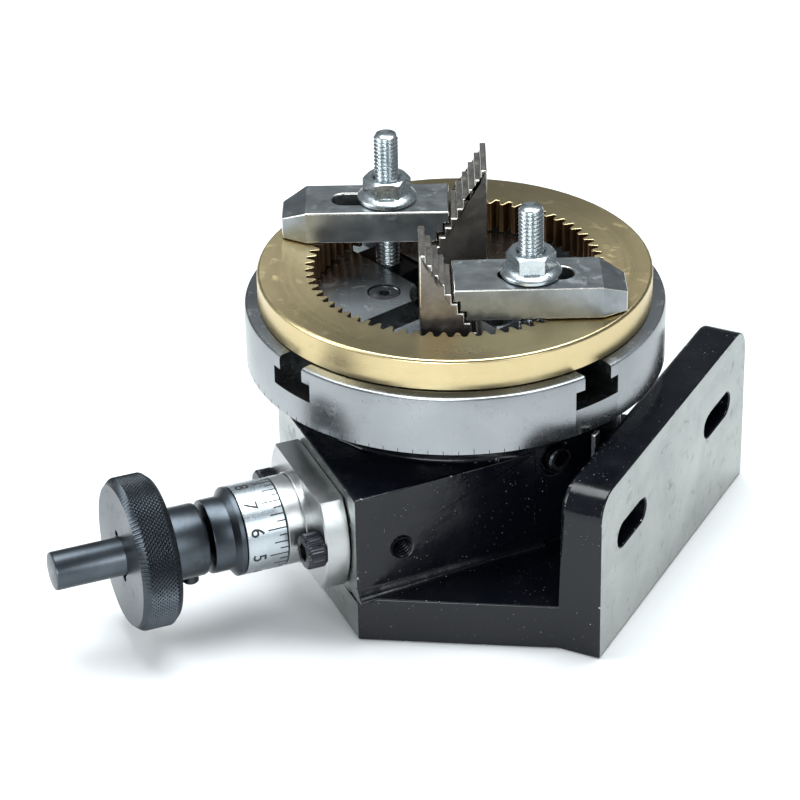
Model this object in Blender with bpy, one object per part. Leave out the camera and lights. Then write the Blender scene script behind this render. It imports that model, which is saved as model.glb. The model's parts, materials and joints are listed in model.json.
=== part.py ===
"""Small rotary table, 100 mm across, with its worm drive and a clamped ring.

The table turns about world Z on a base that stands on its foot or on its
upright flange.  The worm lies level, 22 mm beside the table's axis, and
points out at an angle to the flange.  A brass ring with teeth inside it is
held on the table by two straps, each with a stud, a nut and a step block.

Lengths are millimetres and angles are degrees until add_object scales a
piece to metres.  Heights are above the foot.  Places along the worm are
measured from the point nearest the table's axis, positive outwards.
"""
import math

import bmesh
import bpy
from mathutils import Matrix, Vector

MM = 0.001

# Gaps between pieces, and how far a cutter reaches past the face it opens.
RUNNING_GAP = 0.1
STATIC_GAP = 0.15
REST_GAP = 0.3
CUT_PAST = 1.0

# Table and its T-slots.
TABLE_RADIUS = 50.0
TABLE_TOP = 60.2
TABLE_BOTTOM = 45.1
TABLE_BORE = 10.0
TABLE_CHAMFER = 0.8
TABLE_ANGLE = -24.0           # turn of the T-slots from world X
SLOT_NECK = 8.0
SLOT_NECK_DEPTH = 3.5
SLOT_WIDE = 13.0
SLOT_DEPTH = 8.1
SLOT_FLOOR = TABLE_TOP - SLOT_DEPTH
SLOT_LEDGE = TABLE_TOP - SLOT_NECK_DEPTH

# Countersunk screws that hold the table on its spindle.
TABLE_SCREWS = 4
TABLE_SCREW_CIRCLE = 16.9
TABLE_SCREW_TURN = 45.0
TABLE_SCREW_HOLE = 2.3
TABLE_SCREW_SINK = 4.0
TABLE_SINK_START = TABLE_TOP - 2.6
TABLE_SINK_END = TABLE_TOP - 0.6
TABLE_SCREW_SHANK = 1.85
TABLE_SCREW_HEAD = 3.6
TABLE_SCREW_END = 40.2
TABLE_SCREW_TOP = TABLE_TOP - 0.35
TABLE_SCREW_RIM = 0.5
TABLE_SCREW_HEX = 2.5
TABLE_SCREW_HEX_DEPTH = 1.85

# Spindle, worm wheel and what retains them.
SPINDLE_FLANGE_RADIUS = 22.0
SPINDLE_FLANGE_BOTTOM = 39.0
SPINDLE_JOURNAL_RADIUS = 15.0
SPINDLE_JOURNAL_BOTTOM = 28.0
SPINDLE_TAIL_RADIUS = 10.0
SPINDLE_THREAD_RADIUS = 9.4
SPINDLE_BORE = 7.0
SPINDLE_END = 7.5
SPINDLE_SHOULDER_GAP = 0.2
SPINDLE_SHOULDER_STEP = 0.5
MODULE = 1.0
WHEEL_TEETH = 36
WHEEL_PITCH_RADIUS = MODULE * WHEEL_TEETH / 2.0
WHEEL_FLANK_STEPS = (-1.25, -0.1, 1.0)      # root, middle and tip from the pitch circle, in modules
WHEEL_BOTTOM = 19.0
WHEEL_TOP = 27.0
PRESSURE_ANGLE = math.radians(20.0)
BACKLASH = 0.26
KEY_HALF_WIDTH = 1.45
KEY_SINK = 1.0                # how far the key reaches into the spindle
KEY_RISE = 1.5                # how far it reaches into the wheel
NUT_BOTTOM = 9.0
NUT_TOP = 15.0
NUT_RADIUS = 14.5
NUT_NOTCHES = 4
NUT_NOTCH_FLOOR = 12.6
NUT_NOTCH_HALF_WIDTH = 1.5
WASHER_RADIUS = 13.5
WASHER_TOP = 18.6

# Body of the base.
BODY_RADIUS = 39.8
BODY_TOP = 44.5
BODY_CHAMFER = 0.8
FOOT_BACK_ANGLE = 82.0        # where the foot runs into the round body
FOOT_THICKNESS = 11.4
WHEEL_CAVITY = 21.0
COVE_RADIUS = 2.4

# Upright flange.
FLANGE_FACE = 57.2
FLANGE_THICKNESS = 10.2
FLANGE_ROOT = FLANGE_FACE - FLANGE_THICKNESS
FLANGE_HEIGHT = 42.3
FLANGE_HALF_LENGTH = 45.3
FLANGE_CORNER = 6.5
FLANGE_SLOT_WIDTH = 6.2
FLANGE_SLOT_LENGTH = 17.0
FLANGE_SLOT_PLACE = 26.8
FLANGE_SLOT_HEIGHT = 26.3

# Housing of the worm.
WORM_ANGLE = 48.0             # the worm points to this angle plus 180
WORM_OFFSET = 22.0
WORM_HEIGHT = 23.0
HOUSING_FACE = 43.0
HOUSING_TOP = 37.4
HOUSING_OUTER_SIDE = 43.6     # sideways from the table's axis
HOUSING_INNER_SIDE = -7.4
HOUSING_BACK = -5.0
WORM_POCKET = 6.3
SLEEVE_POCKET_END = 14.5
SIDE_HOLE_PLACE = 31.5
SIDE_HOLE_HEIGHT = 22.0
SIDE_HOLE_RADIUS = 2.6
SIDE_HOLE_BOTTOM = 31.0

# Cover under the foot, and its screws.
COVER_RADIUS = 27.5
COVER_THICKNESS = 2.2
COVER_SCREWS = 3
COVER_SCREW_CIRCLE = 24.2
COVER_SCREW_SHANK = 0.95
COVER_SCREW_HEAD = 2.1
COVER_SCREW_SUNK = 0.3
COVER_SCREW_RIM = 0.15
COVER_SCREW_CONE = 1.6
COVER_SCREW_END = 8.0

# Sleeve that carries the worm, with its plate and bushes.
SHAFT_RADIUS = 4.5
SLEEVE_RADIUS = 10.5
SLEEVE_INNER_END = 17.5
SLEEVE_OUTER_END = 55.1
SLEEVE_BORE = 5.2
PLATE_INNER = HOUSING_FACE + 0.2
PLATE_OUTER = PLATE_INNER + 6.0
PLATE_RADIUS = 18.6
PLATE_HALF_HEIGHT = 11.5
PLATE_SCREW_PLACE = 15.3
PLATE_SCREW_HOLE = 2.75
PLATE_SCREW_TAPPED = 2.6
PLATE_SCREW_TAPPED_DEPTH = 9.6
PLATE_SCREW_SHANK = 2.4
PLATE_SCREW_LENGTH = 14.5
PLATE_SCREW_HEAD = 4.2
PLATE_SCREW_HEAD_HEIGHT = 4.3
PLATE_SCREW_HEAD_EDGE = 0.35
PLATE_SCREW_HEX = 4.0
PLATE_SCREW_HEX_DEPTH = 2.6
BOSS_RADIUS = 10.85
BOSS_HEIGHT = 1.8
GROOVE_RADIUS = 10.1
GROOVE_WIDTH = 0.4
BUSH_OUTER = 6.6
BUSH_INNER = SHAFT_RADIUS + RUNNING_GAP
BUSH_CHAMFER = 0.3
INNER_BUSH_SEAT = 28.0
OUTER_BUSH_SEAT = 45.0
BUSH_RECESS = 0.6
REAR_BUSH_RADIUS = 5.5
REAR_BUSH_OUT = -13.5
REAR_BUSH_IN = -23.0

# Worm and shaft.
WORM_ROOT = 2.75
WORM_CREST = 5.0
THREAD_HALF_LENGTH = 7.3
THREAD_FACETS = 20
CORE_REACH = 12.4
SHOULDER_RADIUS = 5.6
REAR_JOURNAL_RADIUS = 3.0
REAR_JOURNAL_OUT = -12.8
REAR_CHAMFER = 0.4
SHAFT_END = 108.9
SHAFT_CHAMFER = 0.5

# Dial, its carrier and its spring.
DIAL_INNER_END = 55.4
DIAL_OUTER_END = 65.0
DIAL_RADIUS = 10.5
DIAL_BORE = 7.6
DIAL_EDGE = 0.15
COLLAR_SLEEVE = 7.0
COLLAR_INNER_END = 55.8
COLLAR_RIM = 1.1
COLLAR_SLOPE = 1.2
COLLAR_HUB = 8.7
COLLAR_END = 72.4
COLLAR_END_CHAMFER = 0.5
DIAL_SPRING_GAP = 20.0        # half the angle left open by the split spring
DIAL_SPRING_ENDS = (57.0, 61.5)

# Handwheel.
FIT_BORE = SHAFT_RADIUS + 0.12
WHEEL_REAR = 83.0
WHEEL_FRONT = 92.5
HANDWHEEL_RADIUS = 18.0
HANDWHEEL_CHAMFER = 1.4
HUB_RADIUS = 8.5
HUB_END = 73.3
HUB_ROUND = 1.0
KEY_NOTCH_RADIUS = 1.2
KEY_NOTCH_DEPTH = 4.5
KEY_NOTCH_X = 2.1
KEY_NOTCH_Y = 4.4
SET_SCREW_PLACE = 76.2
SET_SCREW_RADIUS = 2.0
SET_SCREW_END = 11.1
SET_SCREW_HEX = 2.0
SET_SCREW_CHAMFER = 0.4

# Table lock.
LOCK_ANGLE = -29.0
LOCK_HEIGHT = 34.0
LOCK_RADIUS = 3.0
LOCK_HEX = 3.0
LOCK_SCREW_INNER = 18.5
LOCK_SCREW_STANDS_OUT = 1.6
LOCK_PAD_RADIUS = 2.6
LOCK_PAD_INNER = SPINDLE_JOURNAL_RADIUS + 0.35
LOCK_PAD_OUTER = 18.2
LOCK_PAD_CHAMFER = 0.2
LOCK_BORE_INNER = 12.0
SPOTFACE_RADIUS = 4.4
SPOTFACE_DEPTH = 0.7

# Zero mark on the flange.
INDEX_PLACE = -24.8
INDEX_WIDTH = 2.8
INDEX_THICKNESS = 1.0
INDEX_BOTTOM = 36.0
INDEX_TOP = 45.8

# Clamped ring.
RING_BOTTOM = TABLE_TOP + REST_GAP
RING_TOP = 68.0
RING_OUTER = 46.8
RING_CHAMFER = 0.5
RING_TEETH = 68
RING_ROOT = 35.25
RING_TIP = 33.2
RING_BLANK_BORE = 29.0
SPACE_AT_TIP = 0.36           # half of a tooth space, as a share of one pitch
SPACE_AT_ROOT = 0.13

# Clamp kit: T-nut, stud, nut, strap and step block.
T_NUT_HALF_LENGTH = 8.0
T_NUT_HALF_WIDTH = 6.2
T_NUT_NECK = 3.75
T_NUT_TOP = TABLE_TOP - 0.6
T_NUT_LEDGE_GAP = 0.2
STUD_RADIUS = 3.0
STUD_BOTTOM = SLOT_FLOOR + 0.6
STUD_TOP = 93.4
STUD_CHAMFER = 0.6
STRAP_BOTTOM = RING_TOP + REST_GAP
STRAP_TOP = 76.2
STRAP_HALF_WIDTH = 7.7
STRAP_HEEL = -18.1
STRAP_HEEL_TOOTH = 73.2
STRAP_HEEL_LAST = 0.5
STRAP_CREASE = 16.2
STRAP_TIP = 22.0
STRAP_SLOT = (-7.7, 10.0)
STRAP_SLOT_RADIUS = 3.15
NOSE_DROP = 2.7
NOSE_INSET = 3.2
NOSE_CLEAR = 3.0
NUT_SEAT = STRAP_TOP + STATIC_GAP
NUT_FLANGE_RADIUS = 7.1
NUT_FLANGE_RIM = 1.0
NUT_FLANGE_HEIGHT = 1.9
NUT_FLANGE_NECK = 5.4
NUT_HEX = 10.0
NUT_HEX_START = 0.8
NUT_HEIGHT = 6.0
STEP_RISE = 2.5
STEP_RUN = 1.44
STEP_LAND = 1.5

# Where each clamp stands: its stud along the T-slot, the direction of its strap,
# how far the strap is pushed along, and its block's high end, top and side shift.
CLAMPS = {
    "near": {"slot_place": 26.9, "turn": 27.0, "push": 0.0, "block_end": -25.7, "block_top": 85.5,
             "block_side": -0.5},
    "far": {"slot_place": -24.7, "turn": 206.0, "push": 3.3, "block_end": -23.8, "block_top": 88.0,
            "block_side": 2.0},
}

# Facets of round pieces, from the largest to the smallest.
FINE = 72
WIDE = 48
ROUND = 36
SMALL = 24
TINY = 16
SHARP_ANGLE = math.radians(35.0)

# Colour, roughness and metallic value of each finish.
FINISHES = {
    "black_paint": ((0.012, 0.013, 0.016), 0.28, 0.0),
    "turned_steel": ((0.62, 0.61, 0.60), 0.32, 1.0),
    "satin_steel": ((0.55, 0.56, 0.56), 0.30, 1.0),
    "satin_chrome": ((0.70, 0.72, 0.72), 0.22, 1.0),
    "black_oxide": ((0.035, 0.038, 0.045), 0.38, 0.9),
    "brass": ((0.60, 0.47, 0.24), 0.36, 1.0),
    "bronze": ((0.58, 0.36, 0.17), 0.40, 1.0),
    "zinc": ((0.72, 0.76, 0.78), 0.25, 1.0),
    "grey_steel": ((0.20, 0.21, 0.22), 0.42, 0.9),
    "brown_steel": ((0.16, 0.14, 0.12), 0.45, 0.9),
}


def clear_scene():
    for item in list(bpy.data.objects):
        bpy.data.objects.remove(item, do_unlink=True)


def finish_material(name):
    """Make, or find again, the material of one finish."""
    found = bpy.data.materials.get(name)
    if found:
        return found
    colour, roughness, metallic = FINISHES[name]
    material = bpy.data.materials.new(name)
    material.use_nodes = True
    shader = material.node_tree.nodes["Principled BSDF"]
    shader.inputs["Base Color"].default_value = (*colour, 1.0)
    shader.inputs["Roughness"].default_value = roughness
    shader.inputs["Metallic"].default_value = metallic
    material.diffuse_color = (*colour, 1.0)
    return material


def add_axis(name, matrix):
    """An empty that stands for an axis or a datum; lengths under it are metres."""
    empty = bpy.data.objects.new(name, None)
    bpy.context.collection.objects.link(empty)
    empty.matrix_world = matrix
    return empty


def add_object(name, mesh_builder, finish, parent=None):
    """Turn a bmesh drawn in millimetres into a named object."""
    bmesh.ops.remove_doubles(mesh_builder, verts=mesh_builder.verts, dist=0.0005)
    bmesh.ops.recalc_face_normals(mesh_builder, faces=mesh_builder.faces)
    bmesh.ops.scale(mesh_builder, verts=mesh_builder.verts, vec=(MM, MM, MM))
    mesh = bpy.data.meshes.new(name)
    mesh_builder.to_mesh(mesh)
    mesh_builder.free()
    mesh.shade_smooth()
    mesh.set_sharp_from_angle(angle=SHARP_ANGLE)
    mesh.materials.append(finish_material(finish))
    item = bpy.data.objects.new(name, mesh)
    bpy.context.collection.objects.link(item)
    if parent is not None:
        item.parent = parent
    return item


def combine(item, others, operation):
    """Apply one exact Boolean with each of the other objects, then delete them."""
    for other in others:
        other.parent = item.parent
        modifier = item.modifiers.new(operation, "BOOLEAN")
        modifier.operation = operation
        modifier.solver = "EXACT"
        modifier.object = other
        bpy.context.view_layer.update()
        evaluated = item.evaluated_get(bpy.context.evaluated_depsgraph_get())
        result = bpy.data.meshes.new_from_object(evaluated)
        item.modifiers.clear()
        old_mesh = item.data
        item.data = result
        bpy.data.meshes.remove(old_mesh)
        bpy.data.objects.remove(other, do_unlink=True)
    tidy = bmesh.new()
    tidy.from_mesh(item.data)
    bmesh.ops.remove_doubles(tidy, verts=tidy.verts, dist=0.001 * MM)
    bmesh.ops.dissolve_limit(tidy, angle_limit=math.radians(0.05), verts=tidy.verts, edges=tidy.edges)
    tidy.to_mesh(item.data)
    tidy.free()
    item.data.shade_smooth()
    item.data.set_sharp_from_angle(angle=SHARP_ANGLE)
    return item


def in_same_finish(item, shapes):
    """Make the shapes into objects with the item's own finish, for a Boolean."""
    return [add_object("tool", shape, item.data.materials[0].name) for shape in shapes]


def cut(item, *shapes):
    """Cut shapes drawn in millimetres out of an object."""
    return combine(item, in_same_finish(item, shapes), "DIFFERENCE")


def join(item, *shapes):
    """Fuse shapes drawn in millimetres with an object."""
    return combine(item, in_same_finish(item, shapes), "UNION")


def turned(profile, facets, closed=True, phase=0.5):
    """Revolve (radius, height) points about Z; a radius of 0 becomes a pole."""
    shape = bmesh.new()
    rows = []
    for radius, height in profile:
        if radius == 0.0:
            rows.append([shape.verts.new((0.0, 0.0, height))])
            continue
        row = []
        for index in range(facets):
            angle = 2.0 * math.pi * (index + phase) / facets
            row.append(shape.verts.new((radius * math.cos(angle), radius * math.sin(angle), height)))
        rows.append(row)
    pairs = list(zip(rows, rows[1:]))
    if closed:
        pairs.append((rows[-1], rows[0]))
    for lower, upper in pairs:
        for index in range(facets):
            after = (index + 1) % facets
            if len(lower) == 1 and len(upper) == 1:
                continue
            if len(lower) == 1:
                shape.faces.new((lower[0], upper[after], upper[index]))
            elif len(upper) == 1:
                shape.faces.new((lower[index], lower[after], upper[0]))
            else:
                shape.faces.new((lower[index], lower[after], upper[after], upper[index]))
    return shape


def rod(radius, bottom, top, facets=ROUND, chamfer=0.0):
    """A solid round bar along Z, with its two ends broken by a small chamfer."""
    if chamfer:
        profile = [(0.0, bottom), (radius - chamfer, bottom), (radius, bottom + chamfer),
                   (radius, top - chamfer), (radius - chamfer, top), (0.0, top)]
    else:
        profile = [(0.0, bottom), (radius, bottom), (radius, top), (0.0, top)]
    return turned(profile, facets, closed=False)


def tube(outer, inner, bottom, top, facets=ROUND, chamfer=0.0):
    """A round tube along Z, chamfered on its outer edges."""
    profile = [(inner, bottom), (outer - chamfer, bottom)]
    if chamfer:
        profile += [(outer, bottom + chamfer), (outer, top - chamfer)]
    else:
        profile[-1] = (outer, bottom)
    profile += [(outer - chamfer, top), (inner, top)]
    return turned(profile, facets)


def prism(outline, bottom, top):
    """Stand a flat outline of (x, y) points up between two heights."""
    shape = bmesh.new()
    lower = [shape.verts.new((x, y, bottom)) for x, y in outline]
    upper = [shape.verts.new((x, y, top)) for x, y in outline]
    shape.faces.new(lower)
    shape.faces.new(upper)
    count = len(outline)
    for index in range(count):
        after = (index + 1) % count
        shape.faces.new((lower[index], lower[after], upper[after], upper[index]))
    return shape


def box(low, high):
    return prism([(low[0], low[1]), (high[0], low[1]), (high[0], high[1]), (low[0], high[1])],
                 low[2], high[2])


def moved(shape, matrix):
    """Place a bmesh by a matrix whose translation is in millimetres."""
    bmesh.ops.transform(shape, matrix=matrix, verts=shape.verts)
    return shape


def arc(centre, radius, start, end, steps):
    """Points along an arc, angles in degrees, both ends included."""
    points = []
    for index in range(steps + 1):
        angle = math.radians(start + (end - start) * index / steps)
        points.append((centre[0] + radius * math.cos(angle), centre[1] + radius * math.sin(angle)))
    return points


def regular(across_flats, sides=6, turn=0.0):
    """The corners of a regular polygon, such as a hexagon, from its width."""
    radius = across_flats / 2.0 / math.cos(math.pi / sides)
    return [(radius * math.cos(2.0 * math.pi * k / sides + turn),
             radius * math.sin(2.0 * math.pi * k / sides + turn)) for k in range(sides)]


def turn_about_z(degrees):
    return Matrix.Rotation(math.radians(degrees), 4, "Z")


def around(count, radius, first):
    """Places spaced evenly on a circle about Z; the first is at the angle given."""
    return [turn_about_z(first + 360.0 * index / count) @ Matrix.Translation((radius, 0.0, 0.0))
            for index in range(count)]


def slot_outline(middle, height, half_length, radius):
    """Outline of a slot with round ends, drawn level about a middle point."""
    reach = half_length - radius
    return (arc((middle + reach, height), radius, -90.0, 90.0, 8)
            + arc((middle - reach, height), radius, 90.0, 270.0, 8))


def stack_frame(origin, along):
    """A matrix that puts local Z along a direction, from an origin in millimetres."""
    along = Vector(along).normalized()
    matrix = along.to_track_quat("Z", "Y").to_matrix().to_4x4()
    matrix.translation = Vector(origin)
    return matrix


# Directions of the worm: outwards along it, and sideways from the table's axis.
WORM_OUT = Vector((-math.cos(math.radians(WORM_ANGLE)), -math.sin(math.radians(WORM_ANGLE)), 0.0))
WORM_SIDE = Vector((math.sin(math.radians(WORM_ANGLE)), -math.cos(math.radians(WORM_ANGLE)), 0.0))


def worm_frame():
    """Local X runs sideways from the table's axis, local Y up and local Z out."""
    up = Vector((0.0, 0.0, 1.0))
    rotation = Matrix((WORM_SIDE, up, WORM_OUT)).transposed().to_4x4()
    rotation.translation = WORM_SIDE * WORM_OFFSET + up * WORM_HEIGHT
    return rotation


def in_metres(matrix):
    scaled = matrix.copy()
    scaled.translation = matrix.translation * MM
    return scaled


def plan_point(out, side):
    """A plan point given by its distances along and beside the worm's direction."""
    point = WORM_OUT * out + WORM_SIDE * side
    return (point.x, point.y)


# ---------------------------------------------------------------- base

def base_outline():
    """Plan of the foot: housing corner, flange, and back to the axis inside the round body."""
    inset = FLANGE_FACE - CUT_PAST
    back = math.radians(FOOT_BACK_ANGLE)
    reach = BODY_RADIUS - CUT_PAST
    return [plan_point(HOUSING_FACE, HOUSING_OUTER_SIDE), (FLANGE_ROOT, -FLANGE_HALF_LENGTH),
            (inset, -FLANGE_HALF_LENGTH), (inset, FLANGE_HALF_LENGTH), (FLANGE_ROOT, FLANGE_HALF_LENGTH),
            (reach * math.cos(back), reach * math.sin(back)), (0.0, 0.0),
            plan_point(HOUSING_FACE, HOUSING_INNER_SIDE)]


def tangent_point():
    """Where the housing's outer side runs into the round body."""
    corner = Vector(plan_point(HOUSING_FACE, HOUSING_OUTER_SIDE))
    reach = math.sqrt(corner.length_squared - BODY_RADIUS ** 2)
    angle = math.atan2(corner.y, corner.x) + math.atan2(reach, BODY_RADIUS)
    return Vector((BODY_RADIUS * math.cos(angle), BODY_RADIUS * math.sin(angle)))


def housing_outline():
    """Plan of the block that holds the worm, from its end face to the body."""
    touch = tangent_point()
    return [plan_point(HOUSING_FACE, HOUSING_INNER_SIDE), plan_point(HOUSING_FACE, HOUSING_OUTER_SIDE),
            tuple(touch), tuple(touch / 2.0), plan_point(HOUSING_BACK, HOUSING_INNER_SIDE)]


def side_fillet():
    """The cove where the housing's outer side meets the foot."""
    corner = Vector(plan_point(HOUSING_FACE, HOUSING_OUTER_SIDE))
    touch = tangent_point()
    along = (touch - corner).normalized()
    outward = Vector((along.y, -along.x))
    cove = [(-CUT_PAST, -CUT_PAST), (COVE_RADIUS, -CUT_PAST)]
    cove += arc((COVE_RADIUS, COVE_RADIUS), COVE_RADIUS, 270.0, 180.0, 6)
    cove += [(-CUT_PAST, COVE_RADIUS)]
    shape = bmesh.new()
    rows = []
    for place in (corner, touch + along * COVE_RADIUS):
        starts = [(place + outward * out, FOOT_THICKNESS + up) for out, up in cove]
        rows.append([shape.verts.new((point.x, point.y, height)) for point, height in starts])
    return bridged(shape, rows)


def bridged(shape, rows):
    """Close a solid from rows of points that each go once around it."""
    for lower, upper in zip(rows, rows[1:]):
        for index in range(len(lower)):
            after = (index + 1) % len(lower)
            shape.faces.new((lower[index], lower[after], upper[after], upper[index]))
    shape.faces.new(rows[0])
    shape.faces.new(rows[-1])
    return shape


def stood_on_flange(shape):
    """Turn a plan drawn as (along, up) so that its thickness runs through the flange."""
    return moved(shape, Matrix(((0.0, 0.0, 1.0, FLANGE_ROOT), (1.0, 0.0, 0.0, 0.0),
                                (0.0, 1.0, 0.0, 0.0), (0.0, 0.0, 0.0, 1.0))))


def flange_shape():
    """The upright flange, with its two upper corners rounded."""
    place = FLANGE_HALF_LENGTH - FLANGE_CORNER
    low = FLANGE_HEIGHT - FLANGE_CORNER
    outline = [(-FLANGE_HALF_LENGTH, 0.0), (FLANGE_HALF_LENGTH, 0.0)]
    outline += arc((place, low), FLANGE_CORNER, 0.0, 90.0, 7)
    outline += arc((-place, low), FLANGE_CORNER, 90.0, 180.0, 7)
    return stood_on_flange(prism(outline, 0.0, FLANGE_THICKNESS))


def flange_slot(side):
    """Cutter for one bolt slot, level and open through the flange."""
    outline = slot_outline(side * FLANGE_SLOT_PLACE, FLANGE_SLOT_HEIGHT, FLANGE_SLOT_LENGTH / 2.0,
                           FLANGE_SLOT_WIDTH / 2.0)
    return stood_on_flange(prism(outline, -CUT_PAST, FLANGE_THICKNESS + CUT_PAST))


def spindle_bore():
    """Cutter for the stepped bore: cover, wheel, journal and spindle flange."""
    cover_seat = COVER_THICKNESS + SPINDLE_SHOULDER_GAP
    journal_seat = SPINDLE_JOURNAL_BOTTOM - SPINDLE_SHOULDER_GAP
    flange_seat = SPINDLE_FLANGE_BOTTOM - SPINDLE_SHOULDER_GAP
    cover, journal = COVER_RADIUS + STATIC_GAP, SPINDLE_JOURNAL_RADIUS + RUNNING_GAP
    flange = SPINDLE_FLANGE_RADIUS + REST_GAP
    return turned([(0.0, -CUT_PAST), (cover, -CUT_PAST), (cover, cover_seat), (WHEEL_CAVITY, cover_seat),
                   (WHEEL_CAVITY, journal_seat), (journal, journal_seat), (journal, flange_seat),
                   (flange, flange_seat), (flange, BODY_TOP + CUT_PAST), (0.0, BODY_TOP + CUT_PAST)],
                  WIDE, closed=False)


def worm_bores():
    """Cutters for the sleeve's bore, the worm's pocket and the rear bush's bore."""
    bores = [rod(SLEEVE_RADIUS + STATIC_GAP, SLEEVE_POCKET_END, HOUSING_FACE + CUT_PAST, ROUND),
             rod(WORM_POCKET, REAR_BUSH_OUT - REST_GAP, SLEEVE_POCKET_END + CUT_PAST, SMALL),
             rod(REAR_BUSH_RADIUS + STATIC_GAP, REAR_BUSH_IN - REST_GAP, REAR_BUSH_OUT + CUT_PAST, SMALL)]
    tapped_end = HOUSING_FACE - PLATE_SCREW_TAPPED_DEPTH
    bores += [moved(rod(PLATE_SCREW_TAPPED, tapped_end, HOUSING_FACE + CUT_PAST, TINY),
                    Matrix.Translation((side * PLATE_SCREW_PLACE, 0.0, 0.0))) for side in (-1.0, 1.0)]
    return [moved(bore, worm_frame()) for bore in bores]


def lock_bores():
    """Cutters for the lock screw's bore and for the flat around its mouth."""
    bore = rod(LOCK_RADIUS + STATIC_GAP, LOCK_BORE_INNER, BODY_RADIUS + CUT_PAST, TINY)
    flat = rod(SPOTFACE_RADIUS, BODY_RADIUS - SPOTFACE_DEPTH, BODY_RADIUS + CUT_PAST, TINY)
    return [moved(bore, lock_frame()), moved(flat, lock_frame())]


def side_hole():
    """Cutter for the open tapped hole in the housing's outer side."""
    frame = stack_frame(WORM_OUT * SIDE_HOLE_PLACE + Vector((0.0, 0.0, SIDE_HOLE_HEIGHT)), WORM_SIDE)
    return moved(rod(SIDE_HOLE_RADIUS, SIDE_HOLE_BOTTOM, HOUSING_OUTER_SIDE + CUT_PAST, TINY), frame)


def cover_screw_places():
    return around(COVER_SCREWS, COVER_SCREW_CIRCLE, 90.0)


def base_casting():
    """Foot, round body, worm housing and upright flange in one casting, with its bores."""
    body = add_object("base_casting", rod(BODY_RADIUS, 0.0, BODY_TOP, FINE, BODY_CHAMFER), "black_paint")
    join(body, prism(housing_outline(), 0.0, HOUSING_TOP), prism(base_outline(), 0.0, FOOT_THICKNESS),
         side_fillet(), flange_shape())
    cut(body, spindle_bore(), *worm_bores())
    cut(body, *[moved(rod(COVER_SCREW_SHANK + 2.0 * RUNNING_GAP, 0.0, COVER_SCREW_END + CUT_PAST, TINY), place)
                for place in cover_screw_places()])
    cut(body, *lock_bores())
    cut(body, side_hole(), flange_slot(-1.0), flange_slot(1.0))


def lock_frame():
    """Local Z runs outwards along the lock screw, from the table's axis."""
    angle = math.radians(LOCK_ANGLE)
    return stack_frame((0.0, 0.0, LOCK_HEIGHT), (math.cos(angle), math.sin(angle), 0.0))


def zero_index():
    """Small steel tab with the zero line, on the flange's inner face beside the table's rim."""
    face = FLANGE_ROOT - STATIC_GAP
    tab = box((face - INDEX_THICKNESS, INDEX_PLACE, INDEX_BOTTOM), (face, INDEX_PLACE + INDEX_WIDTH, INDEX_TOP))
    add_object("zero_index", tab, "satin_steel")


def countersunk(shank, head, head_height, rim, cone_end, end):
    """A countersunk screw's profile upside down: head at the bottom, shank above it."""
    return turned([(0.0, head_height), (head, head_height), (head, head_height + rim), (shank, cone_end),
                   (shank, end), (0.0, end)], TINY, closed=False)


def bottom_cover():
    """Disc that closes the wheel's cavity from below, flush with the foot, and its screws."""
    cover = add_object("bottom_cover", rod(COVER_RADIUS, 0.0, COVER_THICKNESS, WIDE), "black_oxide")
    for index, place in enumerate(cover_screw_places(), 1):
        hole = countersunk(COVER_SCREW_SHANK + 2.0 * RUNNING_GAP, COVER_SCREW_HEAD + REST_GAP, -CUT_PAST,
                           CUT_PAST + COVER_SCREW_SUNK, COVER_SCREW_CONE, COVER_THICKNESS + CUT_PAST)
        cut(cover, moved(hole, place))
        screw = countersunk(COVER_SCREW_SHANK, COVER_SCREW_HEAD, COVER_SCREW_SUNK, COVER_SCREW_RIM,
                            COVER_SCREW_CONE, COVER_SCREW_END)
        add_object("cover_screw_%d" % index, moved(screw, place), "zinc")


# ---------------------------------------------------------------- sleeve of the worm

def worm_sleeve(parent):
    """Flanged sleeve that carries the worm: round plate with two flats, nose and tube."""
    reach = math.degrees(math.asin(PLATE_HALF_HEIGHT / PLATE_RADIUS))
    outline = arc((0.0, 0.0), PLATE_RADIUS, -reach, reach, 10)
    outline += arc((0.0, 0.0), PLATE_RADIUS, 180.0 - reach, 180.0 + reach, 10)
    plate = add_object("worm_sleeve", prism(outline, PLATE_INNER, PLATE_OUTER), "satin_steel", parent)
    boss_end = PLATE_OUTER + BOSS_HEIGHT
    join(plate, turned([(0.0, SLEEVE_INNER_END), (SLEEVE_RADIUS, SLEEVE_INNER_END),
                        (SLEEVE_RADIUS, PLATE_OUTER - CUT_PAST), (BOSS_RADIUS, PLATE_OUTER - CUT_PAST),
                        (BOSS_RADIUS, boss_end), (GROOVE_RADIUS, boss_end),
                        (GROOVE_RADIUS, boss_end + GROOVE_WIDTH), (SLEEVE_RADIUS, boss_end + GROOVE_WIDTH),
                        (SLEEVE_RADIUS, SLEEVE_OUTER_END),
                        (0.0, SLEEVE_OUTER_END)], ROUND, closed=False))
    seat = BUSH_OUTER + STATIC_GAP
    inner_end, outer_end = SLEEVE_INNER_END - CUT_PAST, SLEEVE_OUTER_END + CUT_PAST
    cut(plate, turned([(0.0, inner_end), (seat, inner_end), (seat, INNER_BUSH_SEAT),
                       (SLEEVE_BORE, INNER_BUSH_SEAT), (SLEEVE_BORE, OUTER_BUSH_SEAT), (seat, OUTER_BUSH_SEAT),
                       (seat, outer_end), (0.0, outer_end)], SMALL, closed=False))
    cut(plate, *[moved(rod(PLATE_SCREW_HOLE, PLATE_INNER - CUT_PAST, PLATE_OUTER + CUT_PAST, TINY),
                       Matrix.Translation((side * PLATE_SCREW_PLACE, 0.0, 0.0))) for side in (-1.0, 1.0)])


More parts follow.
